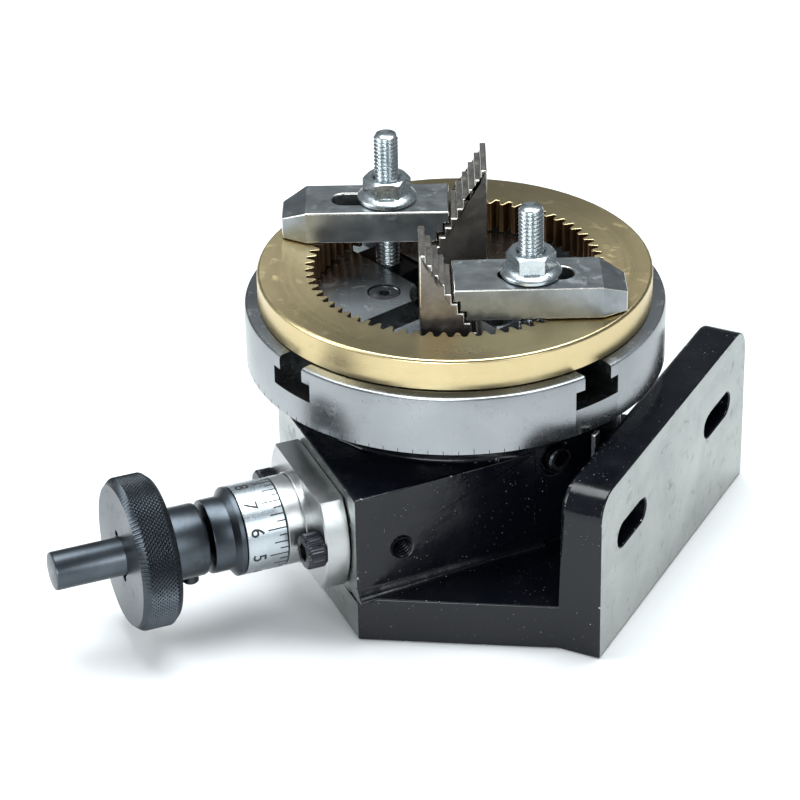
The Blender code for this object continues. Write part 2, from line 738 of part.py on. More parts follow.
def worm_bushes(parent):
    """Two bushes in the sleeve and one in the casting behind the worm."""
    for name, low, high in (("inner_bush", SLEEVE_INNER_END + STATIC_GAP, INNER_BUSH_SEAT - BUSH_RECESS),
                            ("outer_bush", OUTER_BUSH_SEAT + BUSH_RECESS, SLEEVE_OUTER_END - BUSH_RECESS)):
        add_object(name, tube(BUSH_OUTER, BUSH_INNER, low, high, SMALL, BUSH_CHAMFER), "bronze", parent)
    rear = tube(REAR_BUSH_RADIUS, REAR_JOURNAL_RADIUS + RUNNING_GAP, REAR_BUSH_IN, REAR_BUSH_OUT, SMALL,
                BUSH_CHAMFER)
    add_object("rear_bush", rear, "bronze", parent)


def socket_screw(name, blank, socket, place, parent):
    """A screw made from its turned blank, with a hexagon socket sunk in its head."""
    screw = add_object(name, moved(blank, place), "black_oxide", parent)
    cut(screw, moved(socket, place))


def plate_screws(parent):
    """Two socket cap screws that hold the sleeve's plate on the housing."""
    edge = PLATE_SCREW_HEAD_EDGE
    top = PLATE_SCREW_HEAD_HEIGHT
    for label, side in (("left", -1.0), ("right", 1.0)):
        blank = turned([(0.0, -PLATE_SCREW_LENGTH), (PLATE_SCREW_SHANK, -PLATE_SCREW_LENGTH),
                        (PLATE_SCREW_SHANK, 0.0), (PLATE_SCREW_HEAD, 0.0), (PLATE_SCREW_HEAD, top - edge),
                        (PLATE_SCREW_HEAD - edge, top), (0.0, top)], TINY, closed=False)
        socket = prism(regular(PLATE_SCREW_HEX), top - PLATE_SCREW_HEX_DEPTH, top + CUT_PAST)
        place = Matrix.Translation((side * PLATE_SCREW_PLACE, 0.0, PLATE_OUTER + STATIC_GAP))
        socket_screw("plate_screw_" + label, blank, socket, place, parent)


# ---------------------------------------------------------------- table

def table_screw_places():
    return around(TABLE_SCREWS, TABLE_SCREW_CIRCLE, TABLE_SCREW_TURN)


def slot_cutters():
    """Neck and wide part of a T-slot that runs across the table along local X."""
    reach = TABLE_RADIUS + CUT_PAST
    neck, wide = SLOT_NECK / 2.0, SLOT_WIDE / 2.0
    return [box((-reach, -neck, SLOT_LEDGE - CUT_PAST), (reach, neck, TABLE_TOP + CUT_PAST)),
            box((-reach, -wide, SLOT_FLOOR), (reach, wide, SLOT_LEDGE))]


def table_disc(parent):
    """Round table with two crossing T-slots, a centre bore and countersunk holes."""
    edge = TABLE_CHAMFER
    disc = add_object("table_disc", turned(
        [(TABLE_BORE, TABLE_BOTTOM), (TABLE_RADIUS - edge, TABLE_BOTTOM), (TABLE_RADIUS, TABLE_BOTTOM + edge),
         (TABLE_RADIUS, TABLE_TOP - edge), (TABLE_RADIUS - edge, TABLE_TOP), (TABLE_BORE + edge, TABLE_TOP),
         (TABLE_BORE, TABLE_TOP - edge)], FINE), "turned_steel", parent)
    for turn in (0.0, 90.0):
        cut(disc, *[moved(shape, turn_about_z(turn)) for shape in slot_cutters()])
    for place in table_screw_places():
        hole = turned([(0.0, TABLE_BOTTOM - CUT_PAST), (TABLE_SCREW_HOLE, TABLE_BOTTOM - CUT_PAST),
                       (TABLE_SCREW_HOLE, TABLE_SINK_START), (TABLE_SCREW_SINK, TABLE_SINK_END),
                       (TABLE_SCREW_SINK, TABLE_TOP + CUT_PAST), (0.0, TABLE_TOP + CUT_PAST)],
                      TINY, closed=False)
        cut(disc, moved(hole, place))


def table_screws(parent):
    """Four countersunk screws that hold the table on its spindle."""
    rim = TABLE_SCREW_TOP - TABLE_SCREW_RIM
    cone = rim - (TABLE_SCREW_HEAD - TABLE_SCREW_SHANK)
    for index, place in enumerate(table_screw_places(), 1):
        blank = turned([(0.0, TABLE_SCREW_END), (TABLE_SCREW_SHANK, TABLE_SCREW_END),
                        (TABLE_SCREW_SHANK, cone), (TABLE_SCREW_HEAD, rim), (TABLE_SCREW_HEAD, TABLE_SCREW_TOP),
                        (0.0, TABLE_SCREW_TOP)], TINY, closed=False)
        socket_floor = TABLE_SCREW_TOP - TABLE_SCREW_HEX_DEPTH
        socket = prism(regular(TABLE_SCREW_HEX), socket_floor, TABLE_TOP + CUT_PAST)
        socket_screw("table_screw_%d" % index, blank, socket, place, parent)


def spindle(parent):
    """Hollow spindle: flange under the table, journal, and a tail for the wheel."""
    top = TABLE_BOTTOM - SPINDLE_SHOULDER_GAP
    shoulder = SPINDLE_JOURNAL_BOTTOM - SPINDLE_SHOULDER_STEP
    item = add_object("spindle", turned(
        [(SPINDLE_BORE, SPINDLE_END), (SPINDLE_THREAD_RADIUS, SPINDLE_END), (SPINDLE_THREAD_RADIUS, WASHER_TOP),
         (SPINDLE_TAIL_RADIUS, WASHER_TOP), (SPINDLE_TAIL_RADIUS, shoulder), (SPINDLE_JOURNAL_RADIUS, shoulder),
         (SPINDLE_JOURNAL_RADIUS, SPINDLE_FLANGE_BOTTOM), (SPINDLE_FLANGE_RADIUS, SPINDLE_FLANGE_BOTTOM),
         (SPINDLE_FLANGE_RADIUS, top), (SPINDLE_BORE, top)], WIDE), "satin_steel", parent)
    tapped = (TABLE_SCREW_SHANK + 2.0 * RUNNING_GAP, TABLE_SCREW_END - REST_GAP, TABLE_BOTTOM + CUT_PAST, TINY)
    cut(item, *[moved(rod(*tapped), place) for place in table_screw_places()])
    half = KEY_HALF_WIDTH + STATIC_GAP
    cut(item, box((SPINDLE_TAIL_RADIUS - KEY_SINK - STATIC_GAP, -half, WHEEL_BOTTOM - CUT_PAST),
                  (SPINDLE_TAIL_RADIUS + CUT_PAST, half, shoulder + STATIC_GAP)))


def involute(angle):
    return math.tan(angle) - angle


def tooth_half_angle(radius):
    """Half the angle that one of the wheel's teeth fills at a radius."""
    base = WHEEL_PITCH_RADIUS * math.cos(PRESSURE_ANGLE)
    thinned = math.pi / (2.0 * WHEEL_TEETH) - BACKLASH / 4.0 / WHEEL_PITCH_RADIUS
    return thinned + involute(PRESSURE_ANGLE) - involute(math.acos(min(1.0, base / radius)))


def worm_wheel_outline(turn):
    """One layer of the wheel's toothed outline, turned by an angle in radians."""
    radii = [WHEEL_PITCH_RADIUS + step * MODULE for step in WHEEL_FLANK_STEPS]
    rising = [(radius, -tooth_half_angle(radius)) for radius in radii]
    falling = [(radius, -angle) for radius, angle in reversed(rising)]
    points = []
    for index in range(WHEEL_TEETH):
        middle = turn + 2.0 * math.pi * (index + 0.5) / WHEEL_TEETH
        points += [(radius * math.cos(middle + angle), radius * math.sin(middle + angle))
                   for radius, angle in rising + falling]
    return points


def worm_wheel(parent):
    """Bronze wheel whose teeth lean with the worm's helix; a tooth space faces the worm."""
    lead_slope = MODULE / (2.0 * (WORM_OFFSET - WHEEL_PITCH_RADIUS))
    towards_worm = math.atan2(WORM_SIDE.y, WORM_SIDE.x) - math.radians(TABLE_ANGLE)
    shape = bmesh.new()
    rows = []
    for height in (WHEEL_BOTTOM, WHEEL_TOP):
        lean = lead_slope * (height - WORM_HEIGHT) / WHEEL_PITCH_RADIUS
        rows.append([shape.verts.new((x, y, height)) for x, y in worm_wheel_outline(towards_worm + lean)])
    wheel = add_object("worm_wheel", bridged(shape, rows), "bronze", parent)
    low, high = WHEEL_BOTTOM - CUT_PAST, WHEEL_TOP + CUT_PAST
    cut(wheel, rod(SPINDLE_TAIL_RADIUS + STATIC_GAP, low, high, WIDE),
        box((SPINDLE_TAIL_RADIUS - KEY_SINK, -KEY_HALF_WIDTH - STATIC_GAP, low),
            (SPINDLE_TAIL_RADIUS + KEY_RISE + STATIC_GAP, KEY_HALF_WIDTH + STATIC_GAP, high)))


def wheel_key(parent):
    """Flat key between the spindle and the wheel."""
    key = box((SPINDLE_TAIL_RADIUS - KEY_SINK, -KEY_HALF_WIDTH, WHEEL_BOTTOM + STATIC_GAP),
              (SPINDLE_TAIL_RADIUS + KEY_RISE, KEY_HALF_WIDTH, WHEEL_TOP - STATIC_GAP))
    add_object("wheel_key", key, "satin_steel", parent)


def retaining_parts(parent):
    """Under the wheel: a washer and a slotted ring nut on the spindle's thread."""
    bore = SPINDLE_THREAD_RADIUS + STATIC_GAP
    washer = tube(WASHER_RADIUS, bore, NUT_TOP + REST_GAP, WASHER_TOP - RUNNING_GAP, ROUND, BUSH_CHAMFER)
    add_object("thrust_washer", washer, "satin_steel", parent)
    blank = tube(NUT_RADIUS, bore, NUT_BOTTOM, NUT_TOP, ROUND, BUSH_CHAMFER)
    nut = add_object("ring_nut", blank, "black_oxide", parent)
    cut(nut, *[moved(box((NUT_NOTCH_FLOOR, -NUT_NOTCH_HALF_WIDTH, NUT_BOTTOM - CUT_PAST),
                         (NUT_RADIUS + CUT_PAST, NUT_NOTCH_HALF_WIDTH, NUT_TOP + CUT_PAST)), place)
               for place in around(NUT_NOTCHES, 0.0, 0.0)])


# ---------------------------------------------------------------- worm shaft

def worm_thread():
    """One right-hand helical ridge, sunk a little into the core it is joined to."""
    pitch = math.pi * MODULE
    half_at_pitch = (pitch - BACKLASH) / 4.0
    pitch_radius = WORM_OFFSET - WHEEL_PITCH_RADIUS
    slope = math.tan(PRESSURE_ANGLE)
    sunk = WORM_ROOT - REST_GAP
    sunk_half = half_at_pitch + (pitch_radius - sunk) * slope
    crest_half = half_at_pitch - (WORM_CREST - pitch_radius) * slope
    section = [(sunk, -sunk_half), (WORM_CREST, -crest_half), (WORM_CREST, crest_half), (sunk, sunk_half)]
    half_steps = int(THREAD_HALF_LENGTH / pitch * THREAD_FACETS)
    shape = bmesh.new()
    rows = []
    for index in range(-half_steps, half_steps + 1):
        angle = 2.0 * math.pi * index / THREAD_FACETS
        out = pitch * index / THREAD_FACETS
        # Angle 0 faces the table's axis, where local X is -1.
        rows.append([shape.verts.new((-radius * math.cos(angle), -radius * math.sin(angle), out + along))
                     for radius, along in section])
    return bridged(shape, rows)


def worm_shaft(parent):
    """Worm and shaft in one piece: tail journal, thread, shoulder and long journal."""
    rear = REAR_BUSH_IN - RUNNING_GAP
    shoulder = SLEEVE_INNER_END - REST_GAP
    shaft = add_object("worm_shaft", turned(
        [(0.0, rear), (REAR_JOURNAL_RADIUS - REAR_CHAMFER, rear), (REAR_JOURNAL_RADIUS, rear + REAR_CHAMFER),
         (REAR_JOURNAL_RADIUS, REAR_JOURNAL_OUT), (WORM_ROOT, REAR_JOURNAL_OUT), (WORM_ROOT, CORE_REACH),
         (SHOULDER_RADIUS, CORE_REACH), (SHOULDER_RADIUS, shoulder), (SHAFT_RADIUS, shoulder),
         (SHAFT_RADIUS, SHAFT_END - SHAFT_CHAMFER), (SHAFT_RADIUS - SHAFT_CHAMFER, SHAFT_END),
         (0.0, SHAFT_END)], SMALL, closed=False), "black_oxide", parent)
    join(shaft, worm_thread())


def set_screw_frame():
    """Local Z points down from the shaft, through the hub."""
    return stack_frame((0.0, 0.0, SET_SCREW_PLACE), (0.0, -1.0, 0.0))


def handwheel(parent):
    """Round wheel and its hub, with the set screw's hole and two key notches at the bore."""
    edge = HANDWHEEL_CHAMFER
    wheel = add_object("handwheel", turned(
        [(FIT_BORE, HUB_END), (HUB_RADIUS - HUB_ROUND, HUB_END), (HUB_RADIUS, HUB_END + HUB_ROUND),
         (HUB_RADIUS, WHEEL_REAR), (HANDWHEEL_RADIUS - edge, WHEEL_REAR),
         (HANDWHEEL_RADIUS, WHEEL_REAR + edge), (HANDWHEEL_RADIUS, WHEEL_FRONT - edge),
         (HANDWHEEL_RADIUS - edge, WHEEL_FRONT), (FIT_BORE, WHEEL_FRONT)], ROUND), "black_oxide", parent)
    bore = rod(SET_SCREW_RADIUS + STATIC_GAP, SHAFT_RADIUS - CUT_PAST, SET_SCREW_END + CUT_PAST, TINY)
    cut(wheel, moved(bore, set_screw_frame()))
    notch = (KEY_NOTCH_RADIUS, WHEEL_FRONT - KEY_NOTCH_DEPTH, WHEEL_FRONT + CUT_PAST, TINY)
    cut(wheel, *[moved(rod(*notch), Matrix.Translation((-side * KEY_NOTCH_X, side * KEY_NOTCH_Y, 0.0)))
                 for side in (-1.0, 1.0)])


def headless_screw(name, radius, bottom, top, across_flats, place, parent):
    """A set screw along local Z, with a hexagon socket as deep as its radius."""
    socket = prism(regular(across_flats), top - radius, top + CUT_PAST)
    socket_screw(name, rod(radius, bottom, top, TINY, SET_SCREW_CHAMFER), socket, place, parent)


def dial_carrier(parent):
    """Collar fixed on the shaft; its thin sleeve carries the graduated dial."""
    rim = DIAL_OUTER_END + REST_GAP
    slope_end = rim + COLLAR_RIM + COLLAR_SLOPE
    add_object("dial_carrier", turned(
        [(FIT_BORE, COLLAR_INNER_END), (COLLAR_SLEEVE, COLLAR_INNER_END), (COLLAR_SLEEVE, rim),
         (DIAL_RADIUS, rim), (DIAL_RADIUS, rim + COLLAR_RIM), (COLLAR_HUB, slope_end),
         (COLLAR_HUB, COLLAR_END - COLLAR_END_CHAMFER), (COLLAR_HUB - COLLAR_END_CHAMFER, COLLAR_END),
         (FIT_BORE, COLLAR_END)], ROUND), "black_oxide", parent)


def dial_ring(parent):
    """Graduated dial, free to turn on its carrier."""
    add_object("dial_ring", turned(
        [(DIAL_BORE, DIAL_INNER_END), (DIAL_RADIUS - DIAL_EDGE, DIAL_INNER_END),
         (DIAL_RADIUS, DIAL_INNER_END + DIAL_EDGE), (DIAL_RADIUS, DIAL_OUTER_END), (DIAL_BORE, DIAL_OUTER_END)],
        ROUND), "satin_chrome", parent)


def dial_spring(parent):
    """Thin split spring between carrier and dial; its drag lets the dial be set to zero."""
    first, last = DIAL_SPRING_GAP, 360.0 - DIAL_SPRING_GAP
    outline = arc((0.0, 0.0), DIAL_BORE - RUNNING_GAP, first, last, 28)
    outline += arc((0.0, 0.0), COLLAR_SLEEVE + RUNNING_GAP, last, first, 28)
    add_object("dial_spring", prism(outline, *DIAL_SPRING_ENDS), "satin_steel", parent)


# ---------------------------------------------------------------- clamped ring

def ring_gear(parent):
    """Brass ring with straight teeth inside, lying on the table."""
    ring = add_object("ring_gear", turned(
        [(RING_BLANK_BORE, RING_BOTTOM), (RING_OUTER, RING_BOTTOM), (RING_OUTER, RING_TOP - RING_CHAMFER),
         (RING_OUTER - RING_CHAMFER, RING_TOP), (RING_BLANK_BORE, RING_TOP)], FINE), "brass", parent)
    pitch = 2.0 * math.pi / RING_TEETH
    spaces = []
    for index in range(RING_TEETH):
        for radius, share in ((RING_TIP, -SPACE_AT_TIP), (RING_ROOT, -SPACE_AT_ROOT),
                              (RING_ROOT, SPACE_AT_ROOT), (RING_TIP, SPACE_AT_TIP)):
            angle = pitch * (index + share)
            spaces.append((radius * math.cos(angle), radius * math.sin(angle)))
    cut(ring, prism(spaces, RING_BOTTOM - CUT_PAST, RING_TOP + CUT_PAST))


def t_nut(name, parent, place):
    """Nut that fits the T-slot, at a place along the slot."""
    low, high = place - T_NUT_HALF_LENGTH, place + T_NUT_HALF_LENGTH
    ledge = SLOT_LEDGE - T_NUT_LEDGE_GAP
    foot = box((low, -T_NUT_HALF_WIDTH, SLOT_FLOOR + REST_GAP), (high, T_NUT_HALF_WIDTH, ledge))
    nut = add_object(name, foot, "black_oxide", parent)
    join(nut, box((low, -T_NUT_NECK, ledge - CUT_PAST), (high, T_NUT_NECK, T_NUT_TOP)))
    cut(nut, moved(rod(STUD_RADIUS + STATIC_GAP, SLOT_FLOOR - CUT_PAST, TABLE_TOP + CUT_PAST, TINY),
                   Matrix.Translation((place, 0.0, 0.0))))


def stud(name, parent):
    """Plain rod of the stud's thread diameter, upright on the local Z axis."""
    add_object(name, rod(STUD_RADIUS, STUD_BOTTOM, STUD_TOP, TINY, STUD_CHAMFER), "zinc", parent)


def flange_nut(name, parent):
    """Hexagon nut with a round flange, on the local Z axis."""
    top = NUT_SEAT + NUT_FLANGE_HEIGHT
    nut = add_object(name, turned([(0.0, NUT_SEAT), (NUT_FLANGE_RADIUS, NUT_SEAT),
                                   (NUT_FLANGE_RADIUS, NUT_SEAT + NUT_FLANGE_RIM), (NUT_FLANGE_NECK, top),
                                   (0.0, top)], SMALL, closed=False), "zinc", parent)
    join(nut, prism(regular(NUT_HEX), NUT_SEAT + NUT_HEX_START, NUT_SEAT + NUT_HEIGHT))
    cut(nut, rod(STUD_RADIUS + STATIC_GAP, NUT_SEAT - CUT_PAST, NUT_SEAT + NUT_HEIGHT + CUT_PAST, TINY))


def side_view(shape):
    """Stand a shape whose outline was drawn as (along, up) upright on its side."""
    return moved(shape, Matrix.Rotation(math.radians(90.0), 4, "X"))


def strap_side_outline():
    """Side view of a strap: toothed heel, flat back and sloping nose."""
    points = [(STRAP_TIP, STRAP_BOTTOM), (STRAP_TIP, STRAP_TOP - NOSE_DROP), (STRAP_CREASE, STRAP_TOP),
              (STRAP_HEEL, STRAP_TOP)]
    heel = STRAP_HEEL
    level = STRAP_HEEL_TOOTH
    while level > STRAP_BOTTOM + STRAP_HEEL_LAST:
        points += [(heel, level), (heel + STEP_RUN, level)]
        heel += STEP_RUN
        level -= STEP_RISE
    return points + [(heel, STRAP_BOTTOM)]


def clamp_strap(name, parent, push):
    """Slotted strap; local X points to its nose and the stud stands at X = 0."""
    pushed = Matrix.Translation((push, 0.0, 0.0))
    low, high = STRAP_BOTTOM - CUT_PAST, STRAP_TOP + CUT_PAST
    side = side_view(prism(strap_side_outline(), -STRAP_HALF_WIDTH, STRAP_HALF_WIDTH))
    strap = add_object(name, moved(side, pushed), "grey_steel", parent)
    slot_start, slot_end = STRAP_SLOT
    slot = slot_outline((slot_start + slot_end) / 2.0, 0.0, (slot_end - slot_start) / 2.0, STRAP_SLOT_RADIUS)
    cut(strap, moved(prism(slot, low, high), pushed))
    for hand in (-1.0, 1.0):
        beside = hand * (STRAP_HALF_WIDTH + NOSE_CLEAR)
        slant = NOSE_INSET / (STRAP_TIP - STRAP_CREASE)
        past = STRAP_TIP + NOSE_CLEAR
        corner = [(STRAP_CREASE, hand * STRAP_HALF_WIDTH), (STRAP_CREASE, beside), (past, beside),
                  (past, hand * (STRAP_HALF_WIDTH - NOSE_INSET - slant * NOSE_CLEAR))]
        cut(strap, moved(prism(corner, low, high), pushed))


def step_block(name, parent, high_end, top, side_shift):
    """Wedge of steps that rises away from the strap to its high end."""
    points = [(high_end, RING_BOTTOM), (high_end, top)]
    edge = high_end + STEP_LAND
    level = top
    while level - STEP_RISE > RING_BOTTOM:
        points += [(edge, level), (edge, level - STEP_RISE)]
        level -= STEP_RISE
        edge += STEP_RUN
    points += [(edge, level), (edge, RING_BOTTOM)]
    wedge = side_view(prism(points, -STRAP_HALF_WIDTH, STRAP_HALF_WIDTH))
    add_object(name, moved(wedge, Matrix.Translation((0.0, side_shift, 0.0))), "brown_steel", parent)


def clamp_set(label, table_axis, clamp):
    """One stud in a T-slot with its nut, strap and step block."""
    t_nut("t_nut_" + label, table_axis, clamp["slot_place"])
    place = turn_about_z(TABLE_ANGLE) @ Vector((clamp["slot_place"], 0.0, 0.0))
    axis = add_axis("clamp_axis_" + label, in_metres(Matrix.Translation(place) @ turn_about_z(clamp["turn"])))
    stud("stud_" + label, axis)
    flange_nut("flange_nut_" + label, axis)
    clamp_strap("clamp_strap_" + label, axis, clamp["push"])
    step_block("step_block_" + label, axis, clamp["block_end"], clamp["block_top"], clamp["block_side"])


# ---------------------------------------------------------------- whole object

def build():
    clear_scene()
    base_casting()
    zero_index()
    bottom_cover()
    worm_axis = add_axis("worm_axis", in_metres(worm_frame()))
    worm_sleeve(worm_axis)
    worm_bushes(worm_axis)
    plate_screws(worm_axis)
    worm_shaft(worm_axis)
    handwheel(worm_axis)
    headless_screw("handwheel_set_screw", SET_SCREW_RADIUS, SHAFT_RADIUS + STATIC_GAP, SET_SCREW_END,
                   SET_SCREW_HEX, set_screw_frame(), worm_axis)
    dial_carrier(worm_axis)
    dial_spring(worm_axis)
    dial_ring(worm_axis)
    lock_axis = add_axis("lock_axis", in_metres(lock_frame()))
    pad = rod(LOCK_PAD_RADIUS, LOCK_PAD_INNER, LOCK_PAD_OUTER, TINY, LOCK_PAD_CHAMFER)
    add_object("lock_pad", pad, "brass", lock_axis)
    headless_screw("lock_screw", LOCK_RADIUS, LOCK_SCREW_INNER, BODY_RADIUS + LOCK_SCREW_STANDS_OUT,
                   LOCK_HEX, Matrix(), lock_axis)
    table_axis = add_axis("table_axis", turn_about_z(TABLE_ANGLE))
    table_disc(table_axis)
    table_screws(table_axis)
    spindle(table_axis)
    worm_wheel(table_axis)
    wheel_key(table_axis)
    retaining_parts(table_axis)
    ring_gear(table_axis)
    for label, clamp in CLAMPS.items():
        clamp_set(label, table_axis, clamp)


build()
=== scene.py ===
# %% [markdown]
# # A small rotary table and its clamp kit
# A rotary table turns a workpiece by a known angle.  A handwheel drives a worm, the worm drives
# a wheel under the table, and a graduated ring beside the handwheel counts the degrees.
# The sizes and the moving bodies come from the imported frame.  This script gives every piece its
# real surface: paint, turning marks, knurling, threads and graduations.

# %% Load the frame
import json
import math

import bmesh
import bpy
from mathutils import Matrix, Vector


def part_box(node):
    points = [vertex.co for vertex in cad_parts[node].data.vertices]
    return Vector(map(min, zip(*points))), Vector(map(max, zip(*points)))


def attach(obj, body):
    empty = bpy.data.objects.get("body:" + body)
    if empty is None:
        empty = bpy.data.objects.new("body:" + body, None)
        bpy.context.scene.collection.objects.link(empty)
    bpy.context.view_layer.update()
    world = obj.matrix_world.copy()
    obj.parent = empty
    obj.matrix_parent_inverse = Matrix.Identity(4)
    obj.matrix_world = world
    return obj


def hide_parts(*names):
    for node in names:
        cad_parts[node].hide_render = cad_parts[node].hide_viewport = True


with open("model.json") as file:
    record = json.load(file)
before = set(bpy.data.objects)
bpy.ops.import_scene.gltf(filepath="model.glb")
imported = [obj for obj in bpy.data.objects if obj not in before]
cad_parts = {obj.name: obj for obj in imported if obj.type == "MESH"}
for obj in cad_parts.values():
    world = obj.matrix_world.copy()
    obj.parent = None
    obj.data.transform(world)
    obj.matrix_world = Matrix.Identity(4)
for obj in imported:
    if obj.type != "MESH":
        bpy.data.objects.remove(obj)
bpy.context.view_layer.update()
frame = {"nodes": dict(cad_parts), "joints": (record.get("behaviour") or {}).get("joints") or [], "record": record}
JOINTS = {joint["name"]: joint for joint in frame["joints"]}
MM = 0.001
UP = Vector((0.0, 0.0, 1.0))

# %% [markdown]
# ## Places to work from
# Round pieces are easiest to draw upright around a local Z axis and to move into place at the end.
# Each matrix below is such a place.  The joints of the frame say where the axes are, so nothing
# has to be measured a second time.

# %% Local frames of the worm, the table and the two clamps
def standing_frame(origin, x_axis):
    """Local Z up and local X along a level direction."""
    x_axis = Vector(x_axis).normalized()
    matrix = Matrix((x_axis, UP.cross(x_axis), UP)).transposed().to_4x4()
    matrix.translation = origin
    return matrix


def shaft_frame(origin, z_axis):
    """Local Z along a level shaft, and local Y up."""
    z_axis = Vector(z_axis).normalized()
    matrix = Matrix((UP.cross(z_axis), UP, z_axis)).transposed().to_4x4()
    matrix.translation = origin
    return matrix


def node_middle(node):
    low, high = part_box(node)
    return (Vector(low) + Vector(high)) / 2.0


def stud_place(node):
    middle = node_middle(node)
    return Vector((middle.x, middle.y, 0.0))


WORM = shaft_frame(JOINTS["worm_spin"]["pos_m"], JOINTS["worm_spin"]["axis"])
TABLE = standing_frame((0.0, 0.0, 0.0), JOINTS["clamp_near_slide"]["axis"])
CLAMPS = {label: standing_frame(stud_place("stud_" + label), JOINTS["strap_" + label + "_slide"]["axis"])
          for label in ("near", "far")}


def span_along(node, matrix):
    """How far a node reaches along the local Z of a frame, from its mesh."""
    inverse = matrix.inverted()
    heights = [(inverse @ vertex.co).z for vertex in frame["nodes"][node].data.vertices]
    return min(heights), max(heights)


def reach_around(node, matrix):
    """The largest radius of a node about the local Z of a frame."""
    inverse = matrix.inverted()
    return max((inverse @ vertex.co).xy.length for vertex in frame["nodes"][node].data.vertices)


print("worm axis at", [round(value / MM, 2) for value in WORM.translation], "mm")

# %% [markdown]
# ## Small helpers for node trees
# Materials and Geometry Nodes are both made of nodes, and both have the same Math node.
# One function adds a node and fills its sockets, whether a value is a number or another node's
# output.  It keeps every tree below short enough to read.

# %% Add nodes and connect them
def put(tree, socket, value):
    if isinstance(value, bpy.types.NodeSocket):
        tree.links.new(value, socket)
    elif value is not None:
        socket.default_value = value


def add(tree, kind, inputs=(), **settings):
    """Add a node, set its properties, and fill its inputs by name or by number."""
    item = tree.nodes.new(kind)
    for name, value in settings.items():
        setattr(item, name, value)
    pairs = inputs.items() if isinstance(inputs, dict) else enumerate(inputs)
    for key, value in pairs:
        put(tree, item.inputs[key], value)
    return item


def calc(tree, operation, first, second=None, third=None):
    """One Math node; the operation's name says what it does with its numbers."""
    return add(tree, "ShaderNodeMath", (first, second, third), operation=operation).outputs[0]


def radius_of(tree, parts):
    """The distance from the Z axis, from a point's separated X and Y."""
    return calc(tree, "SQRT", calc(tree, "ADD", calc(tree, "POWER", parts[0], 2.0),
                                   calc(tree, "POWER", parts[1], 2.0)))


def triangle_wave(tree, phase):
    """1 at whole numbers and 0 half way between them."""
    part = calc(tree, "FRACT", phase)
    return calc(tree, "ABSOLUTE", calc(tree, "MULTIPLY", calc(tree, "SUBTRACT", part, 0.5), 2.0))


print("node helpers ready; a Math node takes three numbers")

# %% [markdown]
# ## Materials: what the surfaces share
# Every finish reads Object coordinates, so it sticks to the piece when a body turns.
# Three patterns do most of the work.  Turning marks are rings around an axis.  Grinding marks
# are streaks along one direction.  Cast or blackened skin is a cloudy noise with no direction.
# The grain moves roughness and bump together, as a real tool mark does.

# %% Shader helpers
def new_finish(name, colour, roughness, metallic):
    material = bpy.data.materials.new(name)
    material.use_nodes = True
    tree = material.node_tree
    shader = tree.nodes["Principled BSDF"]
    shader.inputs["Base Color"].default_value = (*colour, 1.0)
    shader.inputs["Roughness"].default_value = roughness
    shader.inputs["Metallic"].default_value = metallic
    material.diffuse_color = (*colour, 1.0)
    return material, tree, shader


def local_point(tree, matrix):
    """Object coordinates brought into a local frame by a Mapping node."""
    inverse = matrix.inverted()
    place = add(tree, "ShaderNodeMapping", vector_type="POINT")
    place.inputs["Rotation"].default_value = inverse.to_euler()
    place.inputs["Location"].default_value = inverse.translation
    source = add(tree, "ShaderNodeTexCoord")
    tree.links.new(source.outputs["Object"], place.inputs["Vector"])
    return place.outputs["Vector"]


def noise(tree, vector, scale, detail=4.0, roughness=0.55, distortion=0.0):
    item = add(tree, "ShaderNodeTexNoise", {"Vector": vector, "Scale": scale, "Detail": detail,
                                            "Roughness": roughness, "Distortion": distortion})
    return item.outputs["Fac"]


def stretched(tree, vector, factors):
    item = add(tree, "ShaderNodeVectorMath", (vector, factors), operation="MULTIPLY")
    return item.outputs[0]


def ring_vector(tree, vector):
    """Radius and height in place of X and Y, so that a noise on it makes turned rings."""
    parts = add(tree, "ShaderNodeSeparateXYZ", (vector,)).outputs
    return add(tree, "ShaderNodeCombineXYZ", (radius_of(tree, parts), parts[2], 0.0)).outputs[0]


def around_axis(tree, matrix):
    """The direction in which a lathe tool ran, for the stretched shine of turned metal."""
    source = add(tree, "ShaderNodeTexCoord").outputs["Object"]
    arm = add(tree, "ShaderNodeVectorMath", (source, tuple(matrix.translation)), operation="SUBTRACT")
    run = add(tree, "ShaderNodeVectorMath", (tuple(matrix.col[2].xyz), arm.outputs[0]),
              operation="CROSS_PRODUCT")
    world = add(tree, "ShaderNodeVectorTransform", (run.outputs[0],), vector_type="VECTOR",
                convert_from="OBJECT", convert_to="WORLD")
    return add(tree, "ShaderNodeVectorMath", (world.outputs[0],), operation="NORMALIZE").outputs[0]


def between(tree, value, low, high, out_low=0.0, out_high=1.0):
    item = add(tree, "ShaderNodeMapRange", (value, low, high, out_low, out_high), clamp=True)
    return item.outputs["Result"]


def blend_colour(tree, factor, first, second):
    item = add(tree, "ShaderNodeMix", data_type="RGBA")
    put(tree, item.inputs[0], factor)
    for socket, value in ((item.inputs[6], first), (item.inputs[7], second)):
        put(tree, socket, (*value, 1.0) if isinstance(value, tuple) else value)
    return item.outputs[2]


def bump(tree, height, distance, strength=1.0, below=None):
    item = add(tree, "ShaderNodeBump", {"Strength": strength, "Distance": distance, "Height": height})
    if below is not None:
        tree.links.new(below, item.inputs["Normal"])
    return item.outputs["Normal"]


